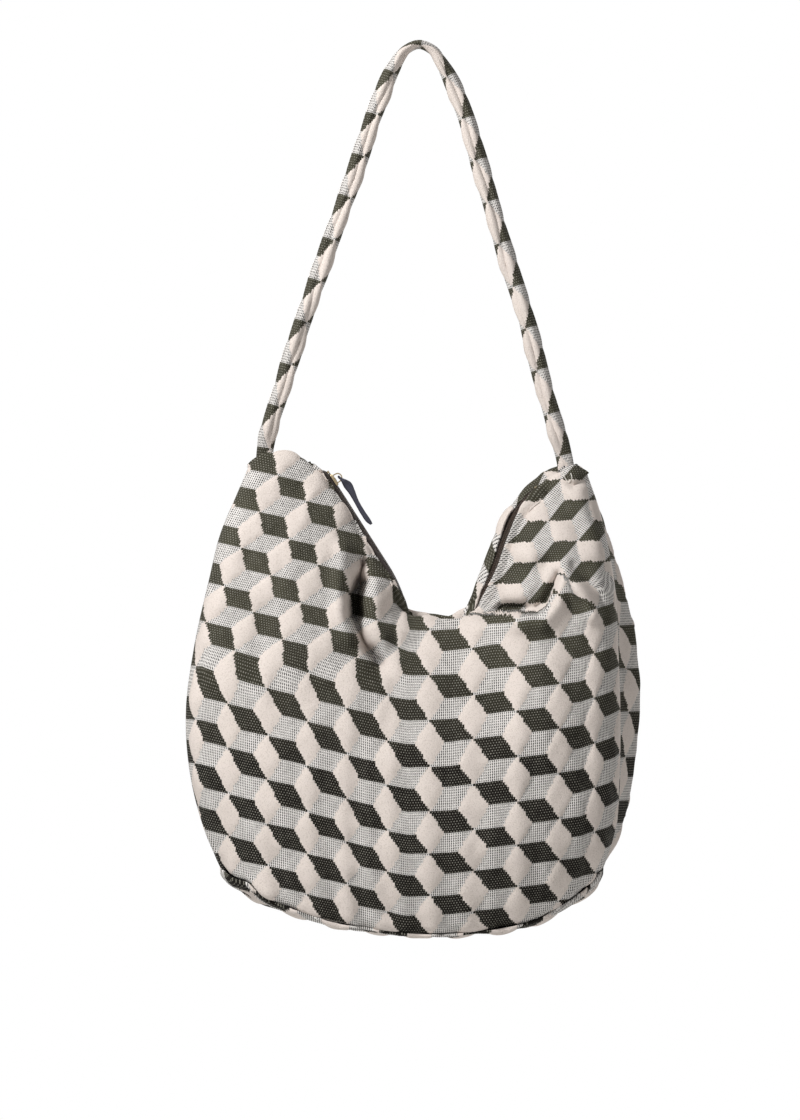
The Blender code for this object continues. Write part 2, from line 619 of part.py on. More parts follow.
def pull_outline():
    """Along the lace from its pin: how far along, how high its middle is, half its width, half its thickness."""
    arm = BAIL_WIDTH / 2 + PULL_WINDOW_CLEARANCE + PULL_THICK / 2
    window = BAIL_RADIUS + BAIL_BAR + PULL_WINDOW_CLEARANCE
    return [(-PULL_PIN, 0.0, PULL_PIN * 0.5, arm), (-PULL_PIN * 0.6, 0.0, PULL_PIN * 0.85, arm),
            (PULL_PIN * 0.3, 0.0, PULL_PIN, arm), (window * 0.5, 0.0008, PULL_PIN * 1.2, arm),
            (window + 0.001, 0.0020, PULL_HEAD * 0.36, arm), (window + 0.004, 0.0026, PULL_HEAD / 2, arm * 0.7),
            (PULL_LENGTH * 0.34, 0.0026, PULL_HEAD * 0.42, PULL_THICK / 2),
            (PULL_LENGTH * 0.5, 0.0016, PULL_TAIL / 2, PULL_THICK / 2),
            (PULL_LENGTH * 0.75, 0.0009, PULL_TAIL * 0.5, PULL_THICK * 0.45),
            (PULL_LENGTH * 0.95, 0.0014, PULL_TAIL * 0.42, PULL_THICK * 0.4),
            (PULL_LENGTH, 0.0018, PULL_TAIL * 0.25, PULL_THICK * 0.3)]


def make_pull():
    """A leather lace through the bail: its loop is a window in the wide head."""
    pivot_height = slider_floor() + SLIDER_WALL + PIN_HEIGHT
    rings = []
    for far, rise, half, thick in pull_outline():
        ring = []
        for k in range(8):
            angle = 2 * math.pi * (k + 0.5) / 8
            a = max(-1.0, min(1.0, 1.25 * math.cos(angle)))
            n = max(-1.0, min(1.0, 1.25 * math.sin(angle)))
            ring.append((far, a * thick, pivot_height + rise + n * half))
        rings.append(ring)
    pull = tube("zip_pull", in_slider(rings), "leather")
    gap = BAIL_WIDTH / 2 + PULL_WINDOW_CLEARANCE
    window = BAIL_RADIUS + BAIL_BAR + PULL_WINDOW_CLEARANCE
    box = [[(far, a, pivot_height + n) for a, n in ((-gap, -PULL_HEAD), (gap, -PULL_HEAD), (gap, PULL_HEAD),
                                                    (-gap, PULL_HEAD))] for far in (PULL_PIN, window)]
    cutter = tube("window", in_slider(box), "leather")
    join(pull, cutter, "DIFFERENCE")
    pull.data.materials.clear()
    pull.data.materials.append(material("leather"))
    pivot = pull_pivot()
    pull.data.transform(Matrix.Translation(-Vector(pivot)))
    pull.location = pivot
    return pull


def build():
    clear_scene()
    make_panel("front_panel", -1)
    make_panel("back_panel", 1)
    make_base()
    make_strap()
    make_tape("zip_tape_front", -1)
    make_tape("zip_tape_back", 1)
    make_chain("zip_teeth_front", -1)
    make_chain("zip_teeth_back", 1)
    make_stops()
    slider = make_slider()
    pull = make_pull()
    carrier = bpy.data.objects.new("slider_carrier", None)
    bpy.context.scene.collection.objects.link(carrier)
    carrier.location = slider_frame()[0]
    for item in (slider, pull):
        item.parent = carrier
        item.matrix_parent_inverse = Matrix.Translation(-Vector(carrier.location))


build()
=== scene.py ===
"""Looks of the hobo handbag: tumbling-block cloth, folds, strap, zip and lace pull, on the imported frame."""

import math

import bmesh
import bpy
import numpy as np
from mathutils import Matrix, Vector, noise


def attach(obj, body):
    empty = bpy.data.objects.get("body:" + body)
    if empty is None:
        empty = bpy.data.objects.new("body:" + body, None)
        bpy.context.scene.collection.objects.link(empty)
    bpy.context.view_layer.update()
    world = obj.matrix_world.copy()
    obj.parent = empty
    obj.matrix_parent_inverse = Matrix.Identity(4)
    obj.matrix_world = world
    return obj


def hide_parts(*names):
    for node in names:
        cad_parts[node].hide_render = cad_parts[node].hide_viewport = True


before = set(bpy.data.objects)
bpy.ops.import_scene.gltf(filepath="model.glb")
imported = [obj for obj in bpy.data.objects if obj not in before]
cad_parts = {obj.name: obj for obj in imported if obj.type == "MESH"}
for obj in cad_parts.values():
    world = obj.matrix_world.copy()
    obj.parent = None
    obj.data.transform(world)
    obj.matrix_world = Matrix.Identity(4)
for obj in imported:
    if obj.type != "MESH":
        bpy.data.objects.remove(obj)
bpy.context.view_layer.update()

# Driving sizes
BODY_WIDTH = 0.402
BODY_HEIGHT = 0.4225
BODY_DEPTH = 0.120
STRAP_DROP = 0.360
CLOTH = 0.0022
SEAM_GAP = 0.0003
BELLY = 0.014
EDGE_ROUND = 0.015
END_FULLNESS = 2.6
ROLL_REACH = 0.36
SIDE_BULGE = 0.040
SIDE_BULGE_SHARE = 0.12
BASE_SAG = 0.004
BASE_GAP = 0.0006
BASE_CORNER_SAG = 0.009
PUCKER = 0.0012
PUCKER_COUNT = 15

STRAP_LEG_HALF = 0.0074
STRAP_LEG_DEPTH = 0.0100
STRAP_TOP_HALF = 0.0036
STRAP_TOP_DEPTH = 0.0150
STRAP_FOOT_DEPTH = 0.0036
STRAP_GROOVE = 0.34
GROOVE_ANGLE = 1.75
GROOVE_WIDTH = 0.42
STRAP_PUFF = 0.7
# Shares of the strap's length: where its flat end stops, over how much it swells, and its narrow top's reach
STRAP_FOOT_END = 0.046
STRAP_FOOT_BLEND = 0.026
STRAP_TOP_SHARE = 0.045
STRAP_SLOT_CLEARANCE = 0.0006

TAPE_THICK = 0.0006
TAPE_TUCK = 0.0012
TAPE_COVER_GAP = 0.0006
TAPE_END = 0.006
RIDGE_RADIUS = 0.006
CHAIN_HALF = 0.0024
CHAIN_HEIGHT = 0.0016
TOOTH_PITCH = 0.005
COIL_RADIUS = 0.00032

SLIDER_LENGTH = 0.011
SLIDER_CLEARANCE = 0.0006
SLIDER_WALL = 0.0011
SLIDER_FROM_START = 0.0075
BAIL_HEIGHT = 0.0056
BAIL_WIDTH = 0.0024
BAIL_BAR = 0.0011
BAIL_RADIUS = SLIDER_LENGTH * 0.3
PIN_SHARE = 0.55
PULL_LENGTH = 0.051
PULL_HEAD = 0.0072
PULL_TAIL = 0.0044
PULL_THICK = 0.0032
PULL_PIN = 0.0011
PULL_WINDOW_CLEARANCE = 0.0005
LACE_SQUARENESS = 1.18
LACE_LEAST = 0.0002
STITCH_RADIUS = 0.00042
STITCH_LIFT = 0.0006

# Mesh fineness
COLUMNS = 400
PANEL_COLUMNS = 190
BODY_ROWS = 176
ROLL_ROWS = 30
BASE_ROWS = 40
STRAP_SIDES = 48
STRAP_RINGS = 420
TAPE_COLUMNS = 320
TAPE_ROWS = 8
CHAIN_STEPS = 900
COIL_POINTS = 10
PULL_RINGS = 90
PULL_SIDES = 28
STITCH_POINTS = 40
END_CROWDING = 0.5
SMOOTHING = 3

# Outlines are drawn on a grid: right, down, and depth as a share of the half depth
GRID_WIDTH = 453.0
GRID_HEIGHT = 476.5
GRID_DROP = 405.5
GRID_ORIGIN = 419.0
GRID_HORN_TOP = 454.5
GRID_TOP = 49
PHOTO_HEIGHT = 1120
PHOTO_MIDDLE = (400, 560)
CAMERA_AWAY = 4.2
SENSOR = 36.0

LEFT_SEAM = [(221, 866, 0.04), (203, 822, 0.05), (191, 772, 0.06), (187, 713, 0.06), (195, 648, 0.06),
             (210, 580, 0.05), (222, 532, 0.04), (238, 494, 0.02), (250, 466, 0.0)]
RIGHT_SEAM = [(602, 866, -0.05), (613, 830, -0.2), (617, 780, -0.32), (618, 720, -0.36), (616, 650, -0.34),
              (613, 589, -0.27), (606, 545, -0.2), (598, 510, -0.1), (586, 474, 0.0)]
FRONT_SEAM = [(221, 866), (234, 874), (249, 878), (262, 890), (292, 903), (330, 915), (365, 922), (400, 926),
              (435, 928), (470, 926), (505, 921), (535, 914), (556, 902), (580, 887), (602, 866)]
BACK_SEAM = [(221, 866), (242, 884), (292, 903), (350, 918), (420, 926), (490, 920), (550, 904), (586, 885),
             (602, 866)]
ZIP_LINE = [(250, 466, 0), (260, 457.5, 0), (285, 455.5, 0), (303, 461, 0), (317, 469, 0), (327.7, 473.5, 0),
            (387.7, 567.5, 0), (399, 590, 0), (408, 620, 0.03), (422, 646, 0.05), (440, 657, 0.05),
            (458, 650, 0.03), (473, 624, -0.04), (485, 592, -0.13), (496, 564, -0.2), (505, 537, -0.2),
            (519, 508, -0.17), (536, 490, -0.1), (553, 478, -0.03), (571, 466, 0), (586, 474, 0)]
FRONT_CREST = [(250, 466, 0), (260, 457.5, -0.16), (285, 455.5, -0.17), (303, 461, -0.16), (316, 470, -0.15),
               (322, 477.2, -0.17), (382, 571.2, -0.17), (391, 590, -0.18), (398, 608, -0.2),
               (411, 616.5, -0.22), (430, 618, -0.24), (451, 620, -0.24), (470, 616, -0.24),
               (493, 603, -0.24), (505, 571, -0.27), (514, 543, -0.27), (527, 516, -0.25), (544, 500, -0.21),
               (555, 480, -0.16), (571, 467, -0.16), (586, 474, 0)]
BACK_CREST = [(250, 466, 0), (260, 457.5, 0.16), (285, 455.5, 0.17), (303, 461, 0.16), (316, 470, 0.15),
              (322, 477.2, 0.17), (382, 571.2, 0.17), (394, 588, 0.16), (402, 605, 0.17), (416, 613, 0.2),
              (433, 614, 0.2), (450, 617, 0.2), (465, 610, 0.14), (472, 596, 0.05), (484, 565, 0.03),
              (496, 538, 0.03), (512, 508, 0.04), (529, 485, 0.08), (547, 471, 0.14), (571, 465, 0.16),
              (586, 474, 0)]
STRAP_ROUTE = [(264, 470), (265, 452), (283, 386), (300.5, 330), (328, 250), (356, 171), (380.5, 99),
               (394, 68), (405, 51), (419, 45), (433, 51), (444, 68), (459, 100), (482, 174), (507, 260),
               (526, 319), (541, 378), (556, 430), (564, 457), (567, 475)]
LEFT_CREASE = [(362, 556), (356, 584), (353, 612), (362, 640), (380, 664)]
RIGHT_RIDGE = [(478, 626), (504, 620), (536, 622), (553, 604), (561, 574), (574, 584), (590, 612)]
RIGHT_CREASE = [(486, 606), (506, 602), (530, 602), (540, 588), (546, 566)]
HORN_DART = [(286, 452), (292, 466), (297, 482)]
STITCH_LINE = [(562, 471), (564, 477), (568, 482), (571, 478), (570, 473)]
FOLDS = [(LEFT_CREASE, 0.009, 0.0085), (RIGHT_RIDGE, -0.0065, 0.009), (RIGHT_CREASE, 0.007, 0.008),
         (HORN_DART, 0.0025, 0.005)]

# The stations of those lines where the zip starts and stops, and its turn, ridge, edge and opening at each
TAPE_START = 4
STRAIGHT_START = 5
STRAIGHT_END = 6
ZIP_STOP = 17
ZIP_TURN = [0, 0, 0, 0, 0, 0, 0, 0, 0, 0, 0, 0, 0.3, 0.7, 0.95, 0.95, 0.8, 0.5, 0.2, 0, 0]
ZIP_RIDGE = [0, 0, 0, 0.4, 0.9, 1, 1, 0.5, -0.3, -0.5, -0.5, -0.5, -0.2, 0.2, 0.4, 0.4, 0.3, 0.2, 0.1, 0, 0]
ZIP_EDGE_WIDE = 0.0075
ZIP_EDGE_NARROW = 0.0027
ZIP_EDGE = [0, 0, 0, 0.3, 0.8, 1, 1, 0.8, 0.3, 0, 0, 0, 0, 0, 0, 0, 0, 0, 0, 0, 0]
ZIP_OPEN = [0, 0, 0, 0.5, 1, 1, 1, 1, 1, 1, 1, 1, 1, 1, 1, 1, 1, 1, 0.3, 0, 0]

HALF_DEPTH = BODY_DEPTH / 2
Y_AXIS = np.array([0.0, 1.0, 0.0])


def place(points):
    """Grid points to metres."""
    grid = np.array([(*p, 0.0) if len(p) == 2 else p for p in points], float)
    x = (grid[:, 0] - GRID_ORIGIN) * BODY_WIDTH / GRID_WIDTH
    below = grid[:, 1] - GRID_HORN_TOP
    scale = np.where(below > 0, BODY_HEIGHT / GRID_HEIGHT, STRAP_DROP / GRID_DROP)
    return np.column_stack([x, grid[:, 2] * HALF_DEPTH, -STRAP_DROP - below * scale])


def chord_knots(points):
    steps = np.linalg.norm(np.diff(points, axis=0), axis=1)
    length = np.concatenate([[0.0], np.cumsum(steps)])
    return length / length[-1]


def spline(points, at, knots=None, straight=None):
    """A smooth curve through the points, read at shares of its length."""
    points = np.asarray(points, float)
    knots = chord_knots(points) if knots is None else knots
    tangents = np.gradient(points, knots, axis=0)
    if straight is not None:
        run = (points[straight + 1] - points[straight]) / (knots[straight + 1] - knots[straight])
        tangents[straight] = run
        tangents[straight + 1] = run
    at = np.atleast_1d(at)
    low = np.clip(np.searchsorted(knots, at, side="right") - 1, 0, len(knots) - 2)
    span = (knots[low + 1] - knots[low])[:, None]
    t = ((at - knots[low]) / span[:, 0])[:, None]
    return ((2 * t ** 3 - 3 * t ** 2 + 1) * points[low] + (t ** 3 - 2 * t ** 2 + t) * span * tangents[low]
            + (3 * t ** 2 - 2 * t ** 3) * points[low + 1] + (t ** 3 - t ** 2) * span * tangents[low + 1])


def unit(vectors):
    length = np.linalg.norm(vectors, axis=-1, keepdims=True)
    return vectors / np.maximum(length, 1e-9)


STATION_KNOTS = chord_knots(place([p[:2] for p in ZIP_LINE]))


def crowded_shares(count):
    """Shares across the bag, closer together at the side seams."""
    even = np.linspace(0.0, 1.0, count + 1)
    return even - END_CROWDING * np.sin(2 * math.pi * even) / (2 * math.pi)


def column_shares():
    """The bag's own column shares, with the ends of the zip's runs among them."""
    shares = crowded_shares(COLUMNS)
    for station in (TAPE_START, STRAIGHT_START, STRAIGHT_END, ZIP_STOP):
        shares[np.argmin(abs(shares - STATION_KNOTS[station]))] = STATION_KNOTS[station]
    return shares


def along(values, shares):
    return np.interp(shares, STATION_KNOTS, values)


def end_taper(shares):
    """How full the bag is from front to back, from nothing at the side seams to all of it."""
    return np.maximum(1.0 - np.abs(2 * shares - 1) ** END_FULLNESS, 0.0) ** (1 / END_FULLNESS)


def line_falloff(line, x, z, width):
    """One on the line, seen from the front, and less away from it."""
    nearest = np.full(x.shape, np.inf)
    for start, end in zip(line[:-1], line[1:]):
        run = end - start
        t = np.clip(((x - start[0]) * run[0] + (z - start[1]) * run[1]) / run.dot(run), 0, 1)
        nearest = np.minimum(nearest, np.hypot(x - start[0] - t * run[0], z - start[1] - t * run[1]))
    return np.exp(-(nearest / width) ** 2)


def fold_depth(folds, x, z):
    """How far the folds push the front cloth inwards at places seen from the front."""
    depth = np.zeros_like(x)
    for points, amount, width in folds:
        depth += amount * line_falloff(place(points)[:, [0, 2]], x, z, width)
    return depth


def zip_frame(shares):
    """The zip's middle line, its direction, its width (to the back) and its outward normal."""
    coarse = column_shares()
    middle = spline(place(ZIP_LINE), coarse, STATION_KNOTS, STRAIGHT_START)
    flat = np.gradient(middle, coarse, axis=0) * np.array([1.0, 0.0, 1.0])
    low, high = (STATION_KNOTS[s] for s in (STRAIGHT_START, STRAIGHT_END))
    line = place(ZIP_LINE)
    inside = (coarse >= low - 1e-9) & (coarse <= high + 1e-9)
    flat[inside] = line[STRAIGHT_END] - line[STRAIGHT_START]
    ahead = unit(flat)
    outward = np.column_stack([-ahead[:, 2], 0 * ahead[:, 0], ahead[:, 0]])
    turn = along(ZIP_TURN, coarse)[:, None]
    width = np.cos(turn) * Y_AXIS + np.sin(turn) * outward
    normal = np.cos(turn) * outward - np.sin(turn) * Y_AXIS

    def read(field):
        return np.column_stack([np.interp(shares, coarse, field[:, k]) for k in range(3)])

    return read(middle), unit(read(ahead)), unit(read(width)), unit(read(normal))


def zip_point(shares, across, lift):
    """A point beside the zip: distance across it over the ridge that it lies on, and height above it."""
    middle, _, width, normal = zip_frame(shares)
    bend = along(ZIP_RIDGE, shares) / RIDGE_RADIUS
    angle = across * bend
    small = np.abs(bend) < 1e-6
    safe = np.where(small, 1.0, bend)
    out = np.where(small, across, np.sin(angle) / safe)
    drop = np.where(small, 0.0, (1 - np.cos(angle)) / safe)
    up = (np.cos(angle)[:, None] * normal + np.sin(angle)[:, None] * width)
    return middle + out[:, None] * width - drop[:, None] * normal + np.asarray(lift).reshape(-1, 1) * up, up


def strap_feet():
    """Where the strap enters the two horns."""
    route = place(STRAP_ROUTE)
    return route[0], route[-1]


def cloth_edge(shares, x):
    """How far each panel's top edge stays from the zip's middle, with a slot for each strap end."""
    edge = along(ZIP_EDGE, shares)
    zipped = along(ZIP_OPEN, shares) * (ZIP_EDGE_NARROW + edge * (ZIP_EDGE_WIDE - ZIP_EDGE_NARROW))
    slot = np.zeros_like(x)
    for foot in strap_feet():
        reach = (x - foot[0]) / (STRAP_LEG_HALF + 4 * STRAP_SLOT_CLEARANCE)
        slot = np.maximum(slot, (STRAP_FOOT_DEPTH + STRAP_SLOT_CLEARANCE) * np.exp(-reach ** 8))
    return np.maximum(np.maximum(zipped, slot), SEAM_GAP / 2)


def base_seam(side, shares):
    """The seam between a panel and the base, with its gathers."""
    seam = spline(place(FRONT_SEAM if side < 0 else BACK_SEAM), shares)
    gathers = PUCKER * np.sin(2 * math.pi * PUCKER_COUNT * shares) * np.sin(math.pi * shares)
    corner_depth = np.interp(shares, [0, 1], [LEFT_SEAM[0][2], RIGHT_SEAM[0][2]]) * HALF_DEPTH
    seam[:, 1] = corner_depth + side * (HALF_DEPTH * end_taper(shares) + gathers)
    return seam


def seam_outward(side, shares):
    """The level direction out of the bag along the base seam."""
    fine = np.linspace(0, 1, 401)
    run = np.gradient(base_seam(side, fine), fine, axis=0)
    out = unit(np.column_stack([-side * run[:, 1], side * run[:, 0], 0 * fine]))
    level = np.column_stack([np.interp(shares, fine, out[:, k]) for k in range(3)])
    level[0] = (-1.0, 0.0, 0.0)
    level[-1] = (1.0, 0.0, 0.0)
    return unit(level)


def even_out(normals):
    """Outward directions that turn gradually, with those along the edges kept."""
    for _ in range(SMOOTHING):
        inner = normals[:-2, 1:-1] + normals[2:, 1:-1] + normals[1:-1, :-2] + normals[1:-1, 2:]
        normals[1:-1, 1:-1] = unit(2 * normals[1:-1, 1:-1] + inner)
    return normals


def panel_surface(side, shares):
    """Middle surface of the front (side -1) or back (side +1) panel, and its outward directions."""
    heights = np.linspace(0.0, 1.0, BODY_ROWS + 1) ** 0.9
    u = shares[:, None, None]
    v = heights[None, :, None]
    offset = np.array([0.0, side * SEAM_GAP / 2, 0.0])
    bottom = base_seam(side, shares)[:, None, :]
    crest = spline(place(FRONT_CREST if side < 0 else BACK_CREST), shares, STATION_KNOTS,
                   STRAIGHT_START)[:, None, :]
    left = spline(place(LEFT_SEAM), heights)[None, :, :]
    right = spline(place(RIGHT_SEAM), heights)[None, :, :]
    ruled = (1 - v) * bottom + v * crest
    ends = (1 - u) * ((1 - v) * bottom[0] + v * crest[0]) + u * ((1 - v) * bottom[-1] + v * crest[-1])
    body = ruled + (1 - u) * left + u * right - ends

    full = end_taper(shares)[:, None]
    flat_v = heights[None, :]
    rounding = np.sqrt(np.maximum(1 - flat_v ** 6, 0)) * (1 - (1 - flat_v) ** 3)
    bulge = full * (BELLY * 4 * flat_v * (1 - flat_v) + EDGE_ROUND * rounding)
    body[:, :, 1] += side * bulge
    if side < 0:
        settle = np.minimum(1.0, 6 * (1 - flat_v)) * np.minimum(1.0, 8 * full)
        body[:, :, 1] += fold_depth(FOLDS, body[:, :, 0], body[:, :, 2]) * settle
    else:
        beyond = np.clip((1 - shares) / SIDE_BULGE_SHARE, 0, 1)[:, None]
        body[:, :, 0] += SIDE_BULGE * np.sin(math.pi * beyond) * np.sin(math.pi * flat_v ** 0.9)
    body += offset

    crest_line = body[:, -1]
    edge_gap = cloth_edge(shares, spline(place(ZIP_LINE), shares, STATION_KNOTS, STRAIGHT_START)[:, 0])
    lift = along(ZIP_OPEN, shares) * (TAPE_THICK / 2 + TAPE_COVER_GAP + CLOTH / 2)
    edge, edge_up = zip_point(shares, side * edge_gap, lift)
    outer_edge, _ = zip_point(shares, side * (edge_gap + CLOTH), lift)
    reach = ROLL_REACH * np.linalg.norm(edge - crest_line, axis=1, keepdims=True)
    lead = crest_line + unit(crest_line - body[:, -2]) * reach
    land = edge + unit(outer_edge - edge) * reach + edge_up * TAPE_COVER_GAP
    rolls = []
    for w in np.linspace(0, 1, ROLL_ROWS + 1)[1:]:
        rolls.append((1 - w) ** 3 * crest_line + 3 * w * (1 - w) ** 2 * lead + 3 * w * w * (1 - w) * land
                     + w ** 3 * edge)
    surface = np.concatenate([body, np.stack(rolls, axis=1)], axis=1)
    surface[0, BODY_ROWS + 1:] = surface[0, BODY_ROWS]
    surface[-1, BODY_ROWS + 1:] = surface[-1, BODY_ROWS]

    along_u = np.gradient(surface, axis=0)
    along_v = np.gradient(surface, axis=1)
    normals = unit(np.cross(along_u, along_v)) * -side
    normals[:, 0] = seam_outward(side, shares)
    normals[:, -1] = edge_up
    normals[0] = (-1.0, 0.0, 0.0)
    normals[-1] = (1.0, 0.0, 0.0)
    return surface, even_out(normals)


def base_surface(shares):
    """Middle surface of the gathered base, hung a seam gap below the two panels."""
    front = base_seam(-1, shares) + np.array([0.0, -SEAM_GAP / 2, 0.0])
    back = base_seam(1, shares) + np.array([0.0, SEAM_GAP / 2, 0.0])
    front[0] = back[0] = (front[0] + back[0]) / 2
    front[-1] = back[-1] = (front[-1] + back[-1]) / 2
    full = end_taper(shares)
    sag = np.sqrt(full) * (BASE_SAG + BASE_CORNER_SAG * np.abs(2 * shares - 1) ** 2)
    rows = []
    for w in np.linspace(0, 1, BASE_ROWS + 1):
        mix = (1 - math.cos(math.pi * w)) / 2
        row = (1 - mix) * front + mix * back
        row[:, 2] -= sag * math.sin(math.pi * w) ** 0.7 + BASE_GAP
        rows.append(row)
    surface = np.stack(rows, axis=1)
    along_u = np.gradient(surface, axis=0)
    along_v = np.gradient(surface, axis=1)
    normals = unit(np.cross(along_v, along_u))
    normals[:, 0] = seam_outward(-1, shares)
    normals[:, -1] = seam_outward(1, shares)
    normals[0] = (-1.0, 0.0, 0.0)
    normals[-1] = (1.0, 0.0, 0.0)
    return surface, even_out(normals)


def zip_ends():
    """The shares where the chain starts and stops, and where the tapes do."""
    line = place(ZIP_LINE)
    per_metre = (STATION_KNOTS[-1] - STATION_KNOTS[0]) / np.linalg.norm(np.diff(line, axis=0), axis=1).sum()
    start = STATION_KNOTS[STRAIGHT_START]
    stop = STATION_KNOTS[ZIP_STOP]
    return start, stop, start - TAPE_END * per_metre, stop + TAPE_END * per_metre


def slider_frame():
    """The slider's rest point on the zip's straight stretch, with its three directions."""
    line = place(ZIP_LINE)
    ahead = unit(line[STRAIGHT_END] - line[STRAIGHT_START])
    outward = np.array([-ahead[2], 0.0, ahead[0]])
    centre = line[STRAIGHT_START] + ahead * SLIDER_FROM_START
    return centre, ahead, Y_AXIS, outward


def slider_floor():
    return TAPE_THICK / 2 + SEAM_GAP + CHAIN_HEIGHT + SLIDER_CLEARANCE


def in_slider(points):
    """Slider coordinates (ahead, across, outward) to metres."""
    centre, ahead, across, outward = slider_frame()
    points = np.asarray(points, float)
    return centre + points[..., :1] * ahead + points[..., 1:2] * across + points[..., 2:] * outward


def pull_outline():
    """Along the lace from its pin: distance, height of its middle, half its width, half its thickness."""
    arm = BAIL_WIDTH / 2 + PULL_WINDOW_CLEARANCE + PULL_THICK / 2
    window = BAIL_RADIUS + BAIL_BAR + PULL_WINDOW_CLEARANCE
    return [(-PULL_PIN, 0.0, PULL_PIN * 0.5, arm), (-PULL_PIN * 0.6, 0.0, PULL_PIN * 0.85, arm),
            (PULL_PIN * 0.3, 0.0, PULL_PIN, arm), (window * 0.5, 0.0008, PULL_PIN * 1.2, arm),
            (window + 0.001, 0.0020, PULL_HEAD * 0.36, arm),
            (window + 0.004, 0.0026, PULL_HEAD / 2, arm * 0.7),
            (PULL_LENGTH * 0.34, 0.0026, PULL_HEAD * 0.42, PULL_THICK / 2),
            (PULL_LENGTH * 0.5, 0.0016, PULL_TAIL / 2, PULL_THICK / 2),
            (PULL_LENGTH * 0.75, 0.0009, PULL_TAIL * 0.5, PULL_THICK * 0.45),
            (PULL_LENGTH * 0.95, 0.0014, PULL_TAIL * 0.42, PULL_THICK * 0.4),
            (PULL_LENGTH, 0.0018, PULL_TAIL * 0.25, PULL_THICK * 0.3)]


# The pattern, on the same grid as the outlines: one unit of it is a block's side
BLOCK_ACROSS = 27.6
BLOCK_UP = 25.4
COLUMN = 1.5
ROW = math.sqrt(3) / 2
ACROSS_METRES = BLOCK_ACROSS * BODY_WIDTH / GRID_WIDTH
UP_METRES = BLOCK_UP * BODY_HEIGHT / GRID_HEIGHT
PATTERN_COLUMNS = [(180, -2), (212, -1), (249, 0), (290, 1), (328, 2), (367, 3), (408, 4), (450, 5), (494, 6),
                   (536, 7), (576, 8), (606, 9), (628, 10), (644, 11)]
PATTERN_SAG = [(180, 745), (249, 761), (290, 769), (328, 778.5), (367, 788), (408, 796), (450, 794),
               (494, 788), (536, 783), (576, 777.5), (606, 768), (640, 752)]
LOW_ROWS = 820.0
LOW_SQUEEZE = 0.08
BACK_FIRST_ROW = 800
FRONT_CLIP = (203.0, 626.0)
BACK_CLIP = (243.0, 592.0)
# A horn's slanted pattern: a dark block's place, its pattern coordinates, and their steps right and down
LEFT_HORN = (286.8, 588.5, -0.75, 7.361, 0.0357, 0.0171, 0.0096, -0.0429)
RIGHT_HORN = (528.9, 531.6, 12.75, 11.691, 0.0223, -0.0301, -0.0399, -0.0328)
LEFT_HORN_ROWS = (640.0, 695.0)
LEFT_HORN_COLUMNS = (380.0, 425.0)
RIGHT_LINE = [(440, 617), (470, 617), (504, 611), (537, 613), (546, 604), (557, 573), (562, 575), (572, 592),
              (584, 600), (600, 584), (640, 576)]
RIGHT_HORN_FROM = 455
RIGHT_BAND = [(440, 2), (562, 2), (572, 12), (584, 30), (640, 36)]
LENS_HALF = 0.5
LENS_POWER = 1.20
THREADS_ACROSS = 14.0
THREADS_UP = 10.0
UV_SCALE = 0.02

PUFF = 0.0017
PUFF_FLAT = 0.0005
PUFF_POWER = 2.4
WRINKLE = 0.0026
WRINKLE_SIZE = 0.045
CRUMPLE = 0.0010
CRUMPLE_SIZE = 0.019
GATHER = 0.0030
GATHER_REACH = 0.016
GATHER_SIZE = 0.011
GATHER_START = 0.004
SEAM_TUCK = 0.0012
SEAM_TUCK_REACH = 0.003
SEAM_RIDGE = 0.0008
SEAM_RIDGE_UP = 0.008
SEAM_RIDGE_HALF = 0.004
EDGE_FADE = 6
FOLD_FADE = 8.0
BASE_WRINKLE_SIZE = 0.03

SHARP_FOLDS = [([(364, 560), (357, 584), (353, 606), (356, 622), (366, 644), (378, 661)], 0.019, 0.0042),
               ([(360, 582), (356, 598), (357, 612)], 0.042, 0.0068),
               ([(345, 548), (341, 580), (342, 606), (351, 634)], -0.0080, 0.0080),
               ([(376, 586), (373, 612), (386, 634)], -0.0080, 0.0080),
               ([(474, 611), (504, 606), (534, 608), (544, 600), (552, 584), (557, 573)], 0.014, 0.0042),
               ([(478, 627), (505, 623), (540, 624), (560, 600)], -0.0040, 0.0075),
               ([(563, 571), (573, 582), (584, 600), (590, 614)], -0.0050, 0.0045),
               ([(571, 566), (583, 577), (596, 596), (601, 616)], 0.0060, 0.0050),
               ([(500, 560), (530, 574), (548, 560)], 0.0040, 0.0080),
               ([(560, 500), (576, 530), (588, 560)], 0.0028, 0.0090),
               ([(420, 640), (440, 668), (470, 690), (500, 700)], 0.0022, 0.011),
               ([(250, 560), (270, 640), (280, 700)], 0.0018, 0.012),
               ([(320, 700), (350, 760), (360, 830)], 0.0015, 0.016),
               ([(560, 640), (575, 700), (585, 780)], 0.0022, 0.012),
               ([(560, 478), (572, 486), (584, 480)], 0.007, 0.0036)]

# Colours in linear light, and the heights between which the dark blocks turn from black in painted shade to
# olive in painted light
CREAM = (0.72, 0.645, 0.590, 1)
CREAM_DULL = (0.68, 0.605, 0.560, 1)
CREAM_SHADE = (0.42, 0.36, 0.31, 1)
WHITE_THREAD = (0.80, 0.77, 0.74, 1)
WHITE_DULL = (0.68, 0.65, 0.62, 1)
HOLE = (0.018, 0.016, 0.015, 1)
# The same dark cloth twice: black as its painted shade low on the bag, olive as its painted light high up
DARK_OLIVE_PAINTED_SHADE = (0.012, 0.0105, 0.0085, 1)
DARK_OLIVE_PAINTED_LIGHT = (0.062, 0.058, 0.040, 1)
FLECK = (0.26, 0.25, 0.21, 1)
PAINTED_LIGHT_LOW = -0.63
PAINTED_LIGHT_HIGH = -0.50
TAPE_DARK = (0.012, 0.007, 0.005, 1)
TAPE_LIGHT = (0.040, 0.023, 0.015, 1)
COIL_DARK = (0.030, 0.018, 0.012, 1)
COIL_LIGHT = (0.085, 0.055, 0.038, 1)
METAL_DARK = (0.20, 0.155, 0.09, 1)
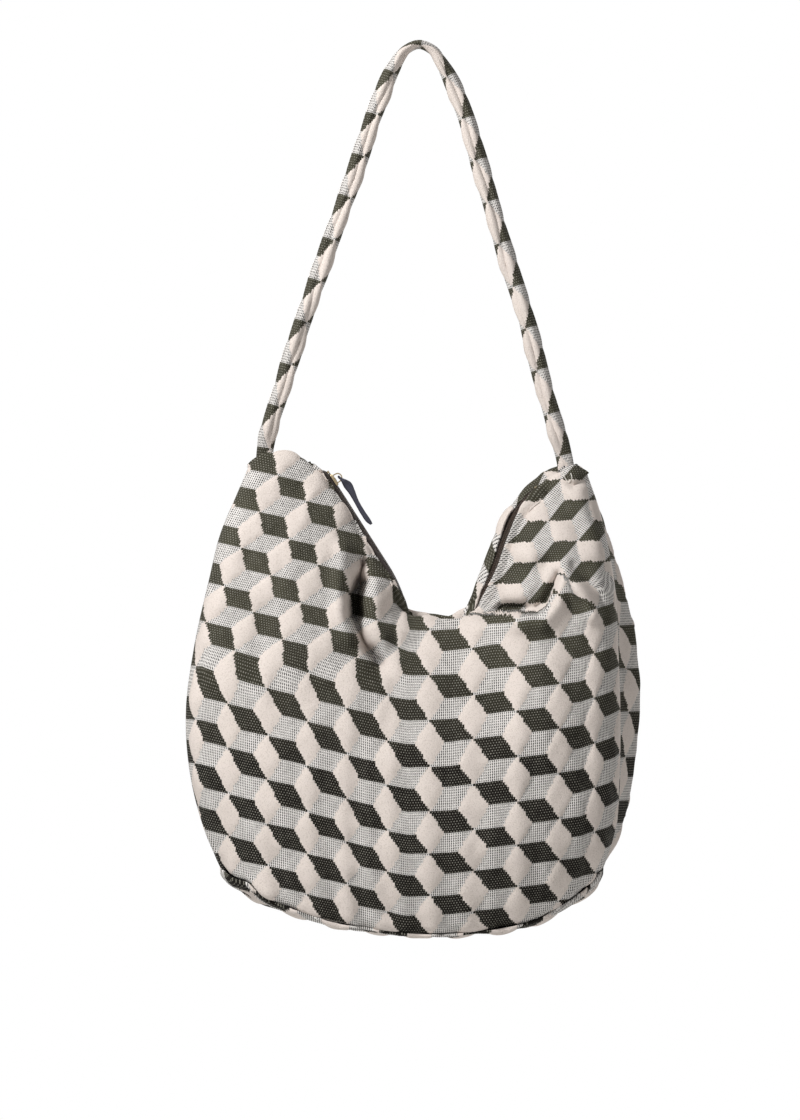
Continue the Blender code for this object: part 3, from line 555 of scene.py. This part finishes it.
METAL_LIGHT = (0.42, 0.34, 0.22, 1)
LEATHER_DARK = (0.008, 0.008, 0.018, 1)
LEATHER_LIGHT = (0.026, 0.027, 0.048, 1)
COTTON = (0.80, 0.77, 0.72, 1)
COTTON_DULL = (0.55, 0.51, 0.46, 1)


def to_grid(points):
    """Metres back to the outlines' grid."""
    right = points[..., 0] * GRID_WIDTH / BODY_WIDTH + GRID_ORIGIN
    below = -points[..., 2] - STRAP_DROP
    down = GRID_HORN_TOP + np.where(below > 0, below * GRID_HEIGHT / BODY_HEIGHT,
                                    below * GRID_DROP / STRAP_DROP)
    return right, down


def ease(t):
    t = np.clip(t, 0, 1)
    return t * t * (3 - 2 * t)


def read_line(points, at):
    xs, ys = zip(*points)
    return np.interp(at, xs, ys)


def tilted(horn, right, down):
    """The pattern where a horn's cloth is turned: an even, slanted grid from one dark block's middle."""
    x0, y0, u0, v0, ux, uy, vx, vy = horn
    return u0 + ux * (right - x0) + uy * (down - y0), v0 + vx * (right - x0) + vy * (down - y0)


def front_pattern(right, down):
    """Pattern coordinates of the front cloth, from where its columns and rows of dark blocks lie."""
    low = down + np.maximum(down - LOW_ROWS, 0) * LOW_SQUEEZE
    u = COLUMN * read_line(PATTERN_COLUMNS, right) - COLUMN / 2
    v = (read_line(PATTERN_SAG, right) - low) / BLOCK_UP + ROW / 2
    side_u, side_v = tilted(LEFT_HORN, right, down)
    mix = ease((LEFT_HORN_ROWS[1] - down) / (LEFT_HORN_ROWS[1] - LEFT_HORN_ROWS[0]))
    mix = mix * ease((LEFT_HORN_COLUMNS[1] - right) / (LEFT_HORN_COLUMNS[1] - LEFT_HORN_COLUMNS[0]))
    u, v = u + mix * (side_u - u), v + mix * (side_v - v)
    side_u, side_v = tilted(RIGHT_HORN, right, down)
    mix = ease((read_line(RIGHT_LINE, right) - down) / read_line(RIGHT_BAND, right) + 0.5)
    mix = mix * (right > RIGHT_HORN_FROM)
    return u + mix * (side_u - u), v + mix * (side_v - v)


def plain_pattern(right, down):
    return (GRID_ORIGIN - right) / BLOCK_ACROSS, (BACK_FIRST_ROW - down) / BLOCK_UP


def panel_pattern(surface, rule):
    """Pattern over a panel: by picture in the middle, by length of cloth round the sides and the roll."""
    right, down = to_grid(surface)
    steps = np.linalg.norm(np.diff(surface[:, :BODY_ROWS + 1], axis=0), axis=2)
    run = np.concatenate([np.zeros((1, steps.shape[1])), np.cumsum(steps, axis=0)])
    left_clip, right_clip = FRONT_CLIP if rule is front_pattern else BACK_CLIP
    inner = np.clip(right[:, :BODY_ROWS + 1], left_clip, right_clip)
    u, v = rule(inner, down[:, :BODY_ROWS + 1])
    sign = 1.0 if rule is front_pattern else -1.0
    for j in range(BODY_ROWS + 1):
        column = right[:, j]
        first = np.argmax(column >= left_clip)
        last = len(column) - 1 - np.argmax(column[::-1] <= right_clip)
        u[:first, j] -= sign * (run[first, j] - run[:first, j]) / ACROSS_METRES
        u[last + 1:, j] += sign * (run[last + 1:, j] - run[last, j]) / ACROSS_METRES
    rolled = np.linalg.norm(np.diff(surface[:, BODY_ROWS:], axis=1), axis=2).cumsum(axis=1)
    up = rolled / UP_METRES
    lean_u = (u[:, -1] - u[:, -3])[:, None]
    lean_v = (v[:, -1] - v[:, -3])[:, None]
    size = np.maximum(np.hypot(lean_u, lean_v), 1e-6)
    u = np.concatenate([u, u[:, -1:] + up * lean_u / size], axis=1)
    v = np.concatenate([v, v[:, -1:] + up * lean_v / size], axis=1)
    return u, v


def puff_height(u, v):
    """How high the padded blocks stand: soft lenses on the cream blocks, nearly flat elsewhere."""
    def depth_inside(shift_u, shift_v):
        a = np.mod(u - shift_u + COLUMN, 2 * COLUMN) - COLUMN
        b = np.mod(v - shift_v, 2 * ROW) - ROW
        return 1 - (np.abs(a) / LENS_HALF) ** LENS_POWER - (np.abs(b) / ROW) ** LENS_POWER
    inside = np.maximum(depth_inside(0, 0), depth_inside(COLUMN, ROW))
    dome = 1 - (1 - np.clip(inside, 0, 1)) ** PUFF_POWER
    return PUFF * dome - PUFF_FLAT * np.clip(1 + inside * 2, 0, 1) * (inside < 0)


def noise_field(points, size, seed):
    flat = points.reshape(-1, 3) / size
    values = [noise.noise(Vector((p[0] + seed, p[1] - seed, p[2] + 2 * seed))) for p in flat]
    return np.array(values).reshape(points.shape[:-1])


def surface_normals(surface, sign):
    normals = unit(np.cross(np.gradient(surface, axis=0), np.gradient(surface, axis=1))) * sign
    normals[0] = (-1.0, 0.0, 0.0)
    normals[-1] = (1.0, 0.0, 0.0)
    return normals


def detail(surface, normals, u, v, seed):
    """Puffs, soft wrinkles, crumples and gathers, along the cloth's own directions."""
    rise = puff_height(u, v)
    rise += WRINKLE * noise_field(surface, WRINKLE_SIZE, seed)
    rise += CRUMPLE * noise_field(surface, CRUMPLE_SIZE, seed + 7)
    up = np.concatenate([np.zeros((surface.shape[0], 1)),
                         np.linalg.norm(np.diff(surface, axis=1), axis=2).cumsum(axis=1)], axis=1)
    wave = noise_field(surface[:, :1] * np.array([1.0, 0.3, 0.3]), GATHER_SIZE, seed + 3)
    rise += GATHER * wave * np.exp(-up / GATHER_REACH) * ease(up / GATHER_START)
    rise -= SEAM_TUCK * np.exp(-(up / SEAM_TUCK_REACH) ** 2)
    rise += SEAM_RIDGE * np.exp(-((up - SEAM_RIDGE_UP) / SEAM_RIDGE_HALF) ** 2)
    fade = np.minimum(1, np.arange(surface.shape[0]) / EDGE_FADE)
    fade = np.minimum(fade, fade[::-1])[:, None]
    return surface + normals * (rise * fade)[..., None]


def add(name, data):
    item = bpy.data.objects.new(name, data)
    bpy.context.scene.collection.objects.link(item)
    return item


def sheet_piece(name, surface, u, v, thickness, stuff, body, nodes, inward):
    """A closed cloth piece from a grid of points, with its pattern as a UV map."""
    nu, nv = surface.shape[:2]
    mesh = bpy.data.meshes.new(name)
    ids = np.arange(nu * nv).reshape(nu, nv)
    quads = np.stack([ids[:-1, :-1], ids[1:, :-1], ids[1:, 1:], ids[:-1, 1:]], axis=-1).reshape(-1, 4)
    if inward:
        quads = quads[:, ::-1]
    mesh.from_pydata(surface.reshape(-1, 3).tolist(), [], quads.tolist())
    layer = mesh.uv_layers.new(name="Weave")
    flat = np.stack([u.reshape(-1), v.reshape(-1)], axis=1) * UV_SCALE
    corner = np.empty(len(mesh.loops), dtype=np.int32)
    mesh.loops.foreach_get("vertex_index", corner)
    layer.data.foreach_set("uv", flat[corner].reshape(-1).astype(np.float32))
    mesh.materials.append(stuff)
    mesh.shade_smooth()
    piece = add(name, mesh)
    if thickness:
        solid = piece.modifiers.new("thickness", "SOLIDIFY")
        solid.thickness = thickness
        solid.offset = -1.0
        solid.use_rim = True
    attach(piece, body)
    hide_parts(*nodes)
    return piece


def wire(name, path, radius, roundness, stuff):
    """A thin round wire along a path."""
    curve = bpy.data.curves.new(name, "CURVE")
    curve.dimensions = "3D"
    curve.bevel_depth = radius
    curve.bevel_resolution = roundness
    curve.use_fill_caps = True
    line = curve.splines.new("POLY")
    line.points.add(len(path) - 1)
    line.points.foreach_set("co", np.column_stack([path, np.ones(len(path))]).reshape(-1))
    piece = add(name, curve)
    curve.materials.append(stuff)
    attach(piece, "root")
    return piece


class Tree:
    """Short ways to add and join shader nodes."""

    def __init__(self, name):
        self.material = bpy.data.materials.new(name + "_look")
        self.material["slot"] = name
        self.material.use_nodes = True
        self.nodes = self.material.node_tree.nodes
        self.links = self.material.node_tree.links
        self.shader = self.nodes["Principled BSDF"]

    def put(self, socket, value):
        if isinstance(value, bpy.types.NodeSocket):
            self.links.new(value, socket)
        elif value is not None:
            socket.default_value = value

    def math(self, operation, a, b=None, c=None):
        made = self.nodes.new("ShaderNodeMath")
        made.operation = operation
        for socket, value in zip(made.inputs, (a, b, c)):
            self.put(socket, value)
        return made.outputs[0]

    def mix(self, share, a, b):
        """Mixes two colours: inputs 6 and 7 and output 2 are the node's colour sockets."""
        made = self.nodes.new("ShaderNodeMix")
        made.data_type = "RGBA"
        self.put(made.inputs[0], share)
        self.put(made.inputs[6], a)
        self.put(made.inputs[7], b)
        return made.outputs[2]

    def noise(self, scale, detail_level=3.0, vector=None, roughness=0.55):
        made = self.nodes.new("ShaderNodeTexNoise")
        made.inputs["Scale"].default_value = scale
        made.inputs["Detail"].default_value = detail_level
        made.inputs["Roughness"].default_value = roughness
        if vector is None:
            vector = self.position()
        self.links.new(vector, made.inputs["Vector"])
        return made.outputs["Fac"]

    def position(self):
        return self.nodes.new("ShaderNodeTexCoord").outputs["Object"]

    def stretch(self, vector, scale):
        made = self.nodes.new("ShaderNodeMapping")
        made.inputs["Scale"].default_value = scale
        self.links.new(vector, made.inputs["Vector"])
        return made.outputs[0]

    def bump(self, height, distance, strength=1.0):
        made = self.nodes.new("ShaderNodeBump")
        made.inputs["Strength"].default_value = strength
        made.inputs["Distance"].default_value = distance
        self.put(made.inputs["Height"], height)
        self.put(self.shader.inputs["Normal"], made.outputs[0])


def jacquard():
    """Tumbling-block cloth: cream padded blocks, dotted basket-weave blocks and dark blocks."""
    t = Tree("block_cloth")
    source = t.nodes.new("ShaderNodeUVMap")
    source.uv_map = "Weave"
    split = t.nodes.new("ShaderNodeSeparateXYZ")
    t.links.new(source.outputs[0], split.inputs[0])
    u = t.math("MULTIPLY", split.outputs[0], 1 / UV_SCALE)
    v = t.math("MULTIPLY", split.outputs[1], 1 / UV_SCALE)
    thread_u = t.math("MULTIPLY", u, THREADS_ACROSS)
    thread_v = t.math("MULTIPLY", v, THREADS_UP)
    step_u = t.math("DIVIDE", t.math("ADD", t.math("FLOOR", thread_u), 0.5), THREADS_ACROSS)
    step_v = t.math("DIVIDE", t.math("ADD", t.math("FLOOR", thread_v), 0.5), THREADS_UP)
    cells = []
    for shift_u, shift_v in ((0.0, 0.0), (COLUMN, ROW)):
        a = t.math("WRAP", t.math("SUBTRACT", step_u, shift_u), COLUMN, -COLUMN)
        b = t.math("WRAP", t.math("SUBTRACT", step_v, shift_v), ROW, -ROW)
        cells.append((a, b, t.math("ADD", t.math("MULTIPLY", a, a), t.math("MULTIPLY", b, b))))
    first = t.math("LESS_THAN", cells[0][2], cells[1][2])
    second = t.math("SUBTRACT", 1.0, first)
    a = t.math("ADD", t.math("MULTIPLY", cells[0][0], first), t.math("MULTIPLY", cells[1][0], second))
    b = t.math("ADD", t.math("MULTIPLY", cells[0][1], first), t.math("MULTIPLY", cells[1][1], second))
    turn = t.math("FLOOR", t.math("DIVIDE", t.math("ARCTAN2", b, a), math.pi / 3))
    sector = t.math("WRAP", t.math("ADD", turn, 0.5), 3.0, 0.0)
    lenses = []
    for shift_u, shift_v in ((0.0, ROW), (COLUMN, 0.0)):
        a = t.math("ABSOLUTE", t.math("WRAP", t.math("SUBTRACT", step_u, shift_u), COLUMN, -COLUMN))
        b = t.math("ABSOLUTE", t.math("WRAP", t.math("SUBTRACT", step_v, shift_v), ROW, -ROW))
        a = t.math("POWER", t.math("DIVIDE", a, LENS_HALF), LENS_POWER)
        b = t.math("POWER", t.math("DIVIDE", b, ROW), LENS_POWER)
        lenses.append(t.math("ADD", a, b))
    cream = t.math("LESS_THAN", t.math("MINIMUM", *lenses), 1.0)
    dark = t.math("COMPARE", sector, 2.5, 0.4)

    fine_u = t.math("SUBTRACT", t.math("FRACT", thread_u), 0.5)
    fine_v = t.math("SUBTRACT", t.math("FRACT", thread_v), 0.5)
    gap_u = t.math("SUBTRACT", 0.5, t.math("ABSOLUTE", fine_u))
    dot = t.math("ADD", t.math("MULTIPLY", t.math("MULTIPLY", gap_u, gap_u), 14.0),
                 t.math("MULTIPLY", t.math("MULTIPLY", fine_v, fine_v), 5.5))
    patch = t.noise(150.0, 2.0)
    hole = t.math("LESS_THAN", dot, t.math("ADD", 0.36, t.math("MULTIPLY", patch, 0.95)))
    odd = t.math("MULTIPLY", t.math("WRAP", t.math("FLOOR", thread_v), 2.0, 0.0), 0.5)
    fleck_u = t.math("SUBTRACT", t.math("FRACT", t.math("ADD", t.math("MULTIPLY", thread_u, 0.75), odd)), 0.5)
    fleck_r = t.math("ADD", t.math("MULTIPLY", fleck_u, fleck_u), t.math("MULTIPLY", fine_v, fine_v))
    fleck = t.math("LESS_THAN", fleck_r, t.math("MULTIPLY", patch, 0.10))

    broad = t.noise(26.0, 2.0)
    cloudy = t.noise(900.0, 2.0)
    cream_colour = t.mix(broad, CREAM, CREAM_DULL)
    shaded = t.math("MULTIPLY", t.math("LESS_THAN", cloudy, 0.43), 0.34)
    cream_colour = t.mix(shaded, cream_colour, CREAM_SHADE)
    white_thread = t.mix(cloudy, WHITE_THREAD, WHITE_DULL)
    grey_colour = t.mix(t.math("MULTIPLY", hole, 0.95), white_thread, HOLE)
    # Painted light: the dark blocks go from black low on the bag to olive high up, standing in for the lamp's
    # light falling stronger on the top; the broad noise adds random tone
    height_split = t.nodes.new("ShaderNodeSeparateXYZ")
    t.links.new(t.position(), height_split.inputs[0])
    painted_light_ramp = t.nodes.new("ShaderNodeMapRange")
    t.links.new(height_split.outputs[2], painted_light_ramp.inputs[0])
    painted_light_ramp.inputs[1].default_value = PAINTED_LIGHT_LOW
    painted_light_ramp.inputs[2].default_value = PAINTED_LIGHT_HIGH
    painted_light_and_tone = t.math("MULTIPLY", painted_light_ramp.outputs[0], t.math("ADD", 0.35, broad))
    dark_block_with_painted_light = t.mix(painted_light_and_tone, DARK_OLIVE_PAINTED_SHADE, DARK_OLIVE_PAINTED_LIGHT)
    dark_colour = t.mix(t.math("MULTIPLY", fleck, 0.85), dark_block_with_painted_light, FLECK)
    colour = t.mix(dark, t.mix(cream, grey_colour, cream_colour), dark_colour)
    t.put(t.shader.inputs["Base Color"], colour)
    t.shader.inputs["Roughness"].default_value = 0.92
    t.shader.inputs["Specular IOR Level"].default_value = 0.12

    ridge_u = t.math("COSINE", t.math("MULTIPLY", thread_u, 2 * math.pi))
    ridge_v = t.math("COSINE", t.math("MULTIPLY", thread_v, 2 * math.pi))
    woven = t.math("SUBTRACT", t.math("MULTIPLY", ridge_v, 0.35), ridge_u)
    smooth = t.math("MULTIPLY", t.noise(800.0, 3.0), 1.8)
    rough_part = t.math("MULTIPLY", woven, t.math("SUBTRACT", 1.0, cream))
    height = t.math("ADD", t.math("MULTIPLY", rough_part, 0.5), t.math("MULTIPLY", smooth, 0.7))
    t.bump(height, 0.00034, 1.0)
    return t.material


def tape_cloth():
    t = Tree("zip_tape")
    t.put(t.shader.inputs["Base Color"], t.mix(t.noise(240.0, 3.0), TAPE_DARK, TAPE_LIGHT))
    t.shader.inputs["Roughness"].default_value = 0.85
    t.shader.inputs["Sheen Weight"].default_value = 0.15
    wave = t.nodes.new("ShaderNodeTexWave")
    wave.inputs["Scale"].default_value = 420.0
    wave.inputs["Distortion"].default_value = 0.4
    t.links.new(t.position(), wave.inputs["Vector"])
    t.bump(wave.outputs["Fac"], 0.00025)
    return t.material


def coil_plastic():
    t = Tree("zip_teeth")
    t.put(t.shader.inputs["Base Color"], t.mix(t.noise(400.0), COIL_DARK, COIL_LIGHT))
    t.shader.inputs["Roughness"].default_value = 0.42
    t.bump(t.noise(1500.0), 0.0001)
    return t.material


def aged_metal():
    t = Tree("zip_metal")
    spots = t.noise(700.0, 4.0)
    t.put(t.shader.inputs["Base Color"], t.mix(spots, METAL_DARK, METAL_LIGHT))
    t.put(t.shader.inputs["Roughness"], t.math("ADD", t.math("MULTIPLY", spots, 0.3), 0.2))
    t.shader.inputs["Metallic"].default_value = 1.0
    t.bump(spots, 0.00005)
    return t.material


def lace_leather():
    t = Tree("dark_leather")
    grain = t.nodes.new("ShaderNodeTexVoronoi")
    grain.inputs["Scale"].default_value = 1500.0
    t.links.new(t.position(), grain.inputs["Vector"])
    wear = t.noise(300.0, 3.0)
    t.put(t.shader.inputs["Base Color"], t.mix(wear, LEATHER_DARK, LEATHER_LIGHT))
    t.put(t.shader.inputs["Roughness"], t.math("ADD", t.math("MULTIPLY", wear, 0.25), 0.38))
    t.bump(grain.outputs["Distance"], 0.00012, 0.6)
    return t.material


def make_panel(name, side, stuff, seed):
    shares = crowded_shares(PANEL_COLUMNS)
    surface, normals = panel_surface(side, shares)
    u, v = panel_pattern(surface, front_pattern if side < 0 else plain_pattern)
    body = surface + normals * CLOTH / 2
    if side < 0:
        rows = np.arange(surface.shape[1])
        keep = np.clip((BODY_ROWS - rows) / FOLD_FADE, 0, 1)[None, :]
        body[..., 1] += fold_depth(SHARP_FOLDS, body[..., 0], body[..., 2]) * keep
    normals = surface_normals(body, -side)
    body = detail(body, normals, u, v, seed)
    return sheet_piece(name, body, u, v, CLOTH, stuff, "root", [name], side > 0)


def make_base(stuff):
    shares = crowded_shares(PANEL_COLUMNS)
    surface, normals = base_surface(shares)
    body = surface + normals * CLOTH / 2
    u = body[..., 0] / ACROSS_METRES
    v = body[..., 1] / UP_METRES
    rows = np.arange(BASE_ROWS + 1)
    keep = np.minimum(1, np.minimum(rows, rows[::-1]) / 3)[None, :]
    rise = (puff_height(u, v) + WRINKLE * noise_field(body, BASE_WRINKLE_SIZE, 31.0)) * keep
    body = body + normals * rise[..., None] * ease(np.minimum(shares, 1 - shares) / 0.03)[:, None, None]
    return sheet_piece("base_cloth", body, u, v, CLOTH, stuff, "root", ["base_panel"], True)


def make_strap(stuff):
    """The strap: a strip folded lengthwise into a soft tube, with its edges meeting in a groove."""
    share = np.linspace(0, 1, STRAP_RINGS + 1)
    middle = spline(place(STRAP_ROUTE), share)
    middle[:, 1] = 0.0
    middle[:, 2] += STRAP_TOP_HALF - middle[:, 2].max()
    ahead = unit(np.gradient(middle, share, axis=0))
    across = np.column_stack([-ahead[:, 2], 0 * share, ahead[:, 0]])
    top = np.exp(-((share - 0.5) / STRAP_TOP_SHARE) ** 2)
    foot = ease((STRAP_FOOT_END - np.minimum(share, 1 - share)) / STRAP_FOOT_BLEND)
    half = STRAP_LEG_HALF + top * (STRAP_TOP_HALF - STRAP_LEG_HALF)
    deep = STRAP_LEG_DEPTH + top * (STRAP_TOP_DEPTH - STRAP_LEG_DEPTH)
    deep = deep + foot * (STRAP_FOOT_DEPTH - deep)
    groove = STRAP_GROOVE * (1 - 0.6 * top) * (1 - foot)
    angle = np.linspace(0, 2 * math.pi, STRAP_SIDES + 1)
    wander = 0.25 * np.sin(share * 17.0) + 0.2 * np.sin(share * 41.0 + 1.0)
    away = np.angle(np.exp(1j * (angle[None, :] + GROOVE_ANGLE + wander[:, None])))
    size = 1 - groove[:, None] * np.exp(-(away / GROOVE_WIDTH) ** 2)
    waves = 0.05 * np.sin(share[:, None] * 60 + 2 * angle[None, :]) + 0.035 * np.sin(share[:, None] * 131 + 3)
    size = size * (1 + waves * (1 - foot)[:, None])
    surface = (middle[:, None] + across[:, None] * (half[:, None] * size * np.cos(angle))[..., None]
               + Y_AXIS * (deep[:, None] * size * np.sin(angle))[..., None])
    length = np.concatenate([[0], np.cumsum(np.linalg.norm(np.diff(middle, axis=0), axis=1))])
    girth = 2 * math.pi * math.sqrt((STRAP_LEG_HALF ** 2 + STRAP_LEG_DEPTH ** 2) / 2)
    u = np.broadcast_to(angle / (2 * math.pi) * girth / ACROSS_METRES, surface.shape[:2])
    v = np.broadcast_to((length / UP_METRES)[:, None], surface.shape[:2])
    outward = unit(np.cross(np.gradient(surface, axis=1), np.gradient(surface, axis=0)))
    if (outward[STRAP_RINGS // 4, 0] * across[STRAP_RINGS // 4]).sum() < 0:
        outward = -outward
    surface = surface + outward * (STRAP_PUFF * puff_height(u, v) * (1 - foot)[:, None])[..., None]
    surface[:, -1] = surface[:, 0]
    piece = sheet_piece("strap_cloth", surface, u, v, 0.0, stuff, "root", ["strap"], True)
    close_tube(piece)
    return piece


def close_tube(piece):
    """Joins a tube's seam, caps its ends and turns its faces outwards."""
    work = bmesh.new()
    work.from_mesh(piece.data)
    bmesh.ops.remove_doubles(work, verts=work.verts, dist=1e-7)
    bmesh.ops.holes_fill(work, edges=[e for e in work.edges if e.is_boundary], sides=0)
    bmesh.ops.recalc_face_normals(work, faces=work.faces)
    work.to_mesh(piece.data)
    work.free()


def make_tape(name, side, stuff):
    _, _, start, stop = zip_ends()
    shares = np.linspace(start, stop, TAPE_COLUMNS)
    edge = cloth_edge(shares, np.full(len(shares), 1.0))
    lateral = np.linspace(0, 1, TAPE_ROWS + 1)
    rows = [zip_point(shares, side * (SEAM_GAP * (1 - w) + w * (edge + TAPE_TUCK)), TAPE_THICK / 2)[0]
            for w in lateral]
    surface = np.stack(rows, axis=1)
    flat = np.zeros(surface.shape[:2])
    return sheet_piece(name + "_cloth", surface, flat, flat, TAPE_THICK, stuff, "root", [name], side > 0)


def make_teeth(name, side, stuff):
    """One side of the coil: short round loops along the tape, each hooked round the middle line."""
    start, stop, _, _ = zip_ends()
    fine = np.linspace(start, stop, CHAIN_STEPS)
    run = np.concatenate([[0.0], np.cumsum(np.linalg.norm(np.diff(zip_frame(fine)[0], axis=0), axis=1))])
    pitch = TOOTH_PITCH / 3
    count = int(run[-1] / pitch)
    low = TAPE_THICK / 2 + SEAM_GAP
    phase = 0.0 if side < 0 else 0.5
    steps = np.arange(count * COIL_POINTS + 1) / COIL_POINTS
    where = np.clip((steps + phase) * pitch, 0, run[-1])
    shares = np.interp(where, run, fine)
    middle, _, width, normal = zip_frame(shares)
    swing = 2 * math.pi * steps
    across = side * (CHAIN_HALF * 0.48 + (CHAIN_HALF * 0.5) * np.cos(swing))
    height = low + CHAIN_HEIGHT * (0.5 + 0.4 * np.sin(swing))
    path = middle + width * across[:, None] + normal * height[:, None]
    coil = wire(name + "_coil", path, COIL_RADIUS, 1, stuff)
    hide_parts(name)
    return coil


def make_pull(stuff):
    """The leather lace, with rounded edges, looped through the bail."""
    outline = np.array(pull_outline())
    pivot_height = slider_floor() + SLIDER_WALL + BAIL_HEIGHT * PIN_SHARE
    share = np.linspace(0, 1, PULL_RINGS)
    line = spline(outline, share, chord_knots(outline[:, :1]))
    angle = np.linspace(0, 2 * math.pi, PULL_SIDES + 1)
    rings = np.empty((len(share), PULL_SIDES + 1, 3))
    a = np.clip(LACE_SQUARENESS * np.cos(angle), -1, 1)
    n = np.clip(LACE_SQUARENESS * np.sin(angle), -1, 1)
    rings[..., 0] = line[:, :1]
    rings[..., 1] = a[None, :] * np.maximum(line[:, 3:4], LACE_LEAST)
    rings[..., 2] = pivot_height + line[:, 1:2] + n[None, :] * np.maximum(line[:, 2:3], LACE_LEAST)
    flat = np.zeros(rings.shape[:2])
    piece = sheet_piece("lace_pull", in_slider(rings), flat, flat, 0.0, stuff, "pull", ["zip_pull"], False)
    close_tube(piece)
    gap = BAIL_WIDTH / 2 + PULL_WINDOW_CLEARANCE
    window = BAIL_RADIUS + BAIL_BAR + PULL_WINDOW_CLEARANCE
    corners = [(far, across, pivot_height + up) for far in (PULL_PIN, window) for across in (-gap, gap)
               for up in (-PULL_HEAD, PULL_HEAD)]
    work = bmesh.new()
    for corner in in_slider(corners):
        work.verts.new(corner)
    bmesh.ops.convex_hull(work, input=work.verts)
    mesh = bpy.data.meshes.new("window")
    work.to_mesh(mesh)
    work.free()
    cutter = add("window", mesh)
    cut = piece.modifiers.new("window", "BOOLEAN")
    cut.operation = "DIFFERENCE"
    cut.object = cutter
    view = bpy.context.evaluated_depsgraph_get()
    mesh = bpy.data.meshes.new_from_object(piece.evaluated_get(view))
    piece.modifiers.clear()
    piece.data = mesh
    bpy.data.objects.remove(cutter, do_unlink=True)
    return piece


def thread_cotton():
    t = Tree("block_cloth")
    t.put(t.shader.inputs["Base Color"], t.mix(t.noise(900.0), COTTON, COTTON_DULL))
    t.shader.inputs["Roughness"].default_value = 0.85
    t.bump(t.noise(2500.0), 0.0001)
    return t.material


def make_stitch(panel, stuff):
    """The loose stitch over the tuck at the right strap foot, lying on the front cloth."""
    line = spline(place(STITCH_LINE), np.linspace(0, 1, STITCH_POINTS))
    for point in line:
        found, where, _, _ = panel.ray_cast(Vector((point[0], -0.3, point[2])), Vector((0, 1, 0)))
        point[1] = where.y - STITCH_LIFT if found else point[1]
    wire("strap_stitch", line, STITCH_RADIUS, 2, stuff)


def make_camera():
    """A long, level view from straight in front, framed as the picture is."""
    scale_x = BODY_WIDTH / GRID_WIDTH
    scale_z = BODY_HEIGHT / GRID_HEIGHT
    data = bpy.data.cameras.new("camera")
    data.sensor_fit = "VERTICAL"
    data.sensor_height = SENSOR
    data.lens = SENSOR * CAMERA_AWAY / (PHOTO_HEIGHT * scale_z)
    camera = add("camera", data)
    camera.location = ((PHOTO_MIDDLE[0] - GRID_ORIGIN) * scale_x, -CAMERA_AWAY,
                       -(PHOTO_MIDDLE[1] - GRID_TOP) * scale_z)
    camera.rotation_euler = (math.pi / 2, 0, 0)
    bpy.context.scene.camera = camera
    bpy.context.scene.view_settings.view_transform = "Standard"


def white_to_camera(tree, out_name, shader):
    """White for what looks at it directly, in gloss or through glass; the given shader for light."""
    path = tree.nodes.new("ShaderNodeLightPath")
    first = tree.nodes.new("ShaderNodeMath")
    first.operation = "MAXIMUM"
    tree.links.new(path.outputs["Is Camera Ray"], first.inputs[0])
    tree.links.new(path.outputs["Is Glossy Ray"], first.inputs[1])
    second = tree.nodes.new("ShaderNodeMath")
    second.operation = "MAXIMUM"
    tree.links.new(first.outputs[0], second.inputs[0])
    tree.links.new(path.outputs["Is Transmission Ray"], second.inputs[1])
    mix = tree.nodes.new("ShaderNodeMixShader")
    glow = tree.nodes.new("ShaderNodeBackground" if out_name == "World Output" else "ShaderNodeEmission")
    glow.inputs["Color"].default_value = (1, 1, 1, 1)
    glow.inputs["Strength"].default_value = 1.0
    tree.links.new(second.outputs[0], mix.inputs[0])
    tree.links.new(shader.outputs[0], mix.inputs[1])
    tree.links.new(glow.outputs[0], mix.inputs[2])
    tree.links.new(mix.outputs[0], tree.nodes[out_name].inputs["Surface"])


def make_world():
    world = bpy.data.worlds.new("studio")
    bpy.context.scene.world = world
    world.use_nodes = True
    base = world.node_tree.nodes["Background"]
    base.inputs["Color"].default_value = (1.0, 0.99, 0.975, 1)
    base.inputs["Strength"].default_value = 0.26
    white_to_camera(world.node_tree, "World Output", base)


def make_floor():
    mesh = bpy.data.meshes.new("floor")
    reach = 6.0
    level = -1.30
    mesh.from_pydata([(-reach, -reach, level), (reach, -reach, level), (reach, reach, level),
                      (-reach, reach, level)], [], [(0, 1, 2, 3)])
    floor = add("floor", mesh)
    stuff = bpy.data.materials.new("pale_floor")
    stuff.use_nodes = True
    shader = stuff.node_tree.nodes["Principled BSDF"]
    shader.inputs["Base Color"].default_value = (0.8, 0.8, 0.79, 1)
    shader.inputs["Roughness"].default_value = 0.9
    white_to_camera(stuff.node_tree, "Material Output", shader)
    mesh.materials.append(stuff)


def make_lamp(name, place_at, towards, size, power):
    data = bpy.data.lights.new(name, "AREA")
    data.size = size
    data.energy = power
    lamp = add(name, data)
    lamp.location = place_at
    lamp.rotation_euler = (Vector(towards) - Vector(place_at)).to_track_quat("-Z", "Y").to_euler()


def give(node, stuff):
    item = bpy.data.objects[node]
    item.data.materials.clear()
    item.data.materials.append(stuff)


def build():
    cloth = jacquard()
    tape = tape_cloth()
    coil = coil_plastic()
    metal = aged_metal()
    make_camera()
    front = make_panel("front_panel", -1, cloth, 3.0)
    make_stitch(front, thread_cotton())
    make_panel("back_panel", 1, cloth, 11.0)
    make_base(cloth)
    make_strap(cloth)
    for name, side in (("front", -1), ("back", 1)):
        make_tape("zip_tape_" + name, side, tape)
        make_teeth("zip_teeth_" + name, side, coil)
    make_pull(lace_leather())
    for node in ("zip_slider", "zip_top_stop_front", "zip_top_stop_back", "zip_bottom_stop"):
        give(node, metal)
    make_world()
    make_floor()
    centre = (0.0, 0.0, -0.5)
    make_lamp("key", (-1.25, -1.15, 0.85), centre, 0.5, 46.0)
    make_lamp("back", (1.4, 2.6, 0.9), centre, 2.0, 38.0)
    make_lamp("fill", (0.8, -2.8, 0.5), centre, 2.0, 8.0)


build()
